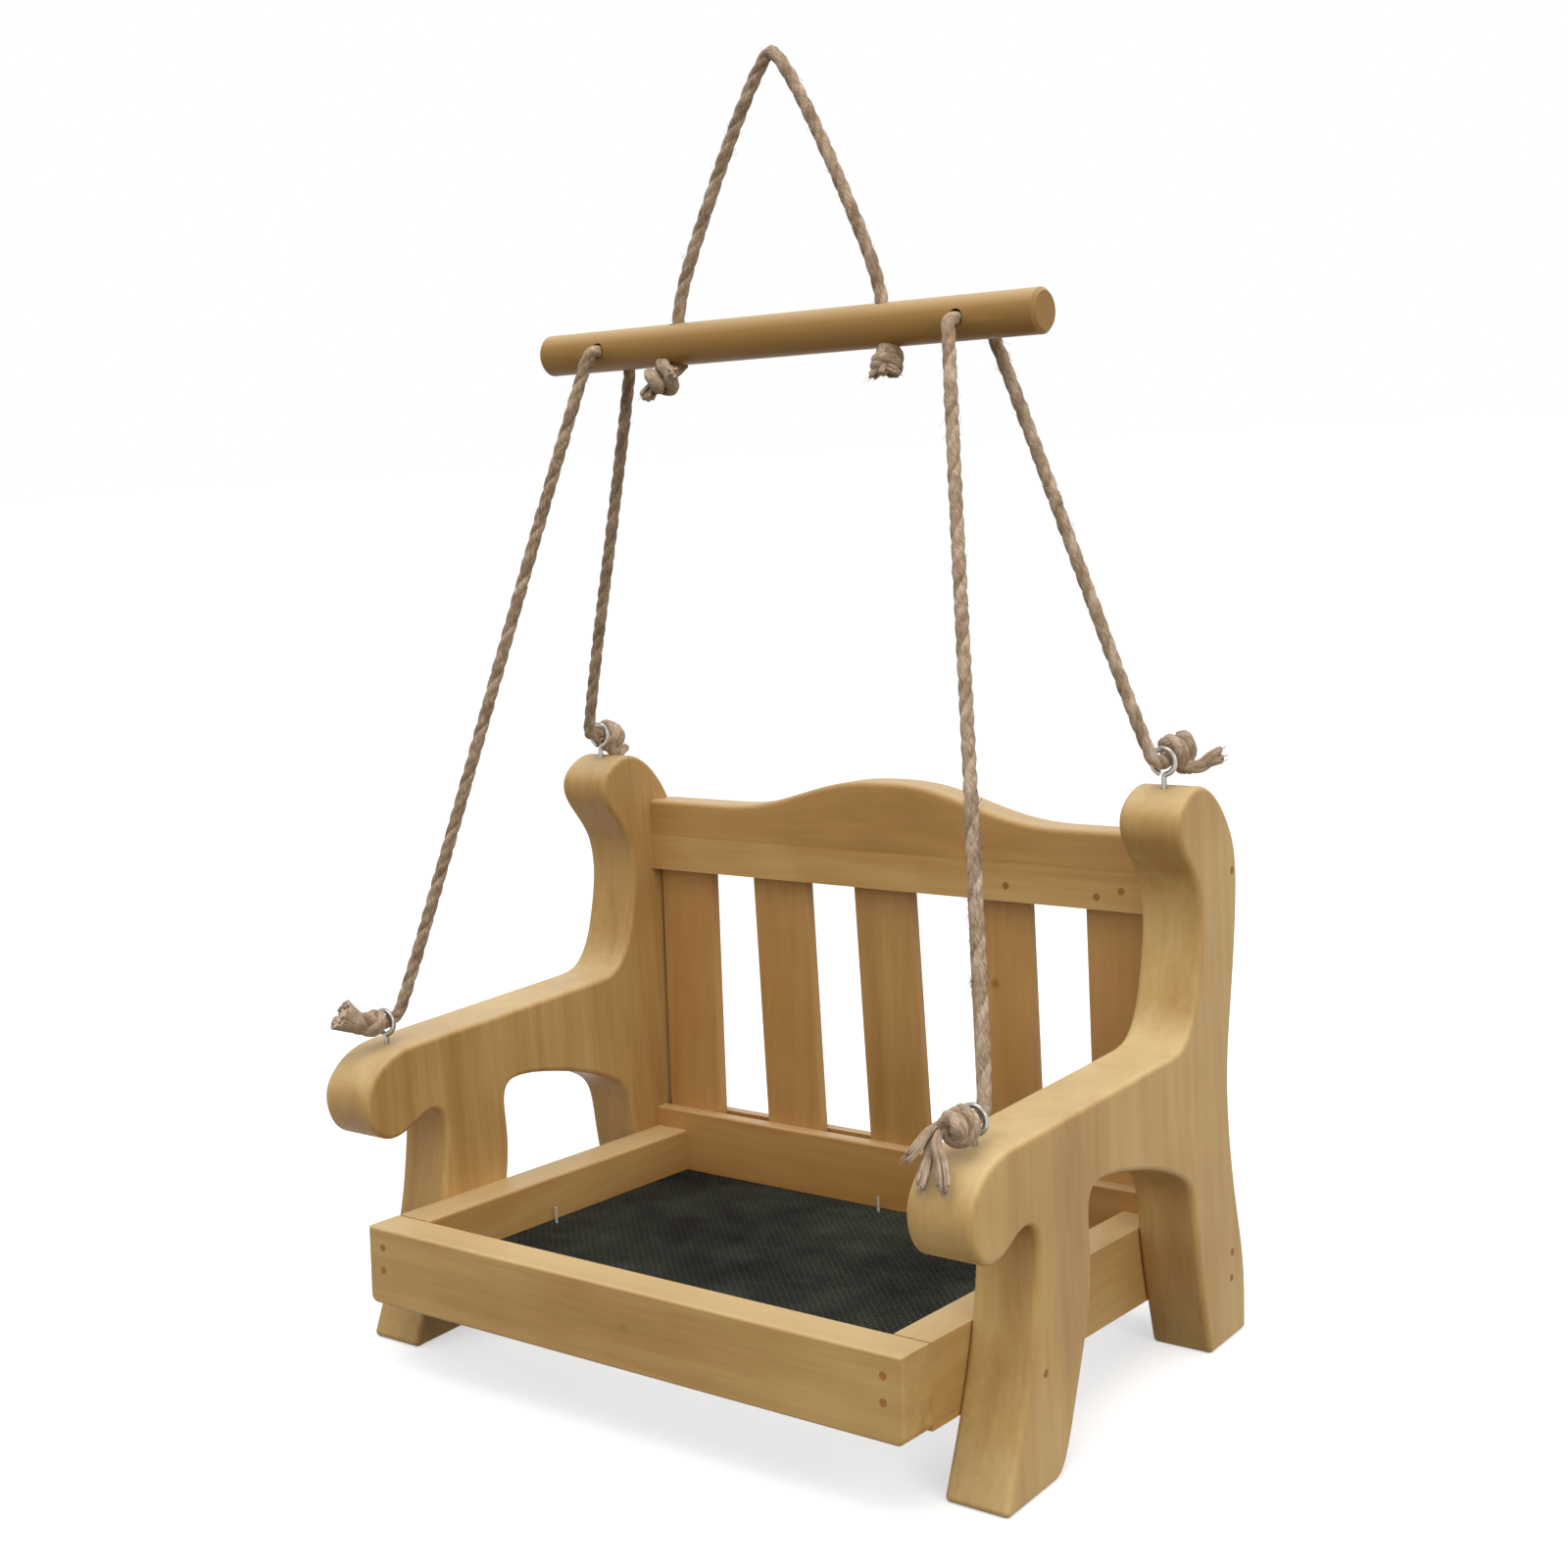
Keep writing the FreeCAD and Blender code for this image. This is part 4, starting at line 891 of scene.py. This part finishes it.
# %% Floor
floor_mesh = bmesh.new()
bmesh.ops.create_grid(floor_mesh, x_segments=1, y_segments=1, size=30.0)
floor_data = bpy.data.meshes.new("Studio floor")
floor_mesh.to_mesh(floor_data)
floor_mesh.free()
floor = bpy.data.objects.new("Studio floor", floor_data)
scene.collection.objects.link(floor)
paper = bpy.data.materials.new("White paper over dark ground")
paper.use_nodes = True
tree = paper.node_tree
tree.nodes.clear()
ground = add(tree, "ShaderNodeBsdfDiffuse", {"Color": linear("#665f4e")})
lit = add(tree, "ShaderNodeBsdfDiffuse", {"Color": linear("#d8d8d8")})
lift = add(tree, "ShaderNodeEmission", {"Color": (1, 1, 1, 1), "Strength": 0.52})
sheet = add(tree, "ShaderNodeAddShader", {0: lit.outputs[0], 1: lift.outputs[0]})
both = add(tree, "ShaderNodeMixShader", {0: shown(tree), 1: ground.outputs[0], 2: sheet.outputs[0]})
below = add(tree, "ShaderNodeNewGeometry").outputs["Backfacing"]
clear = add(tree, "ShaderNodeBsdfTransparent")
one_way = add(tree, "ShaderNodeMixShader", {0: below, 1: both.outputs[0], 2: clear.outputs[0]})
add(tree, "ShaderNodeOutputMaterial", {"Surface": one_way.outputs[0]})
floor_data.materials.append(paper)
print("floor ready")

# %% [markdown]
# ## Softboxes
# An even sky alone leaves round edges flat. Two weak round softboxes, one overhead and one to
# the right, shape the scrolls and the bar without a hard shadow.

# %% Softboxes
def area_light(name, place, target, size, power, colour="#ffffff"):
    """A round softbox at place that faces target."""
    data = bpy.data.lights.new(name, "AREA")
    data.shape = "DISK"
    data.size = size
    data.energy = power
    data.color = linear(colour)[:3]
    light = bpy.data.objects.new(name, data)
    light.location = place
    light.rotation_euler = (Vector(target) - Vector(place)).to_track_quat("-Z", "Y").to_euler()
    scene.collection.objects.link(light)


area_light("Overhead softbox", (0.1, -0.2, 1.4), (0, 0, 0.1), 1.2, 9.0, "#fffaf2")
area_light("Right side softbox", (1.5, -0.5, 0.8), (0, 0, 0.12), 0.9, 6.0, "#fffaf2")
print("studio ready")

# %% [markdown]
# ## Camera
# The photograph was taken from the front right, a little above the seat, with the camera tilted
# by about three degrees. The position and the three angles come from matching the tray's
# corners, the panel outlines and the bar; the lens is 50 mm on a 36 mm sensor.

# %% Camera
YAW = math.radians(37.439)
PITCH_DOWN = math.radians(9.050)
ROLL = math.radians(-3.391)
camera_data = bpy.data.cameras.new("Photo camera")
camera_data.lens = 50.09
camera_data.sensor_width = 36
camera_data.clip_start = 0.01
camera = bpy.data.objects.new("Photo camera", camera_data)
turned = Quaternion((0, 0, 1), YAW)
lowered = Quaternion((1, 0, 0), math.radians(90) - PITCH_DOWN)
rolled = Quaternion((0, 0, 1), ROLL)
camera.rotation_euler = (turned @ lowered @ rolled).to_euler()
camera.location = (0.40393, -0.51162, 0.28111)
scene.collection.objects.link(camera)
scene.camera = camera
print("camera at", [round(c, 4) for c in camera.location])
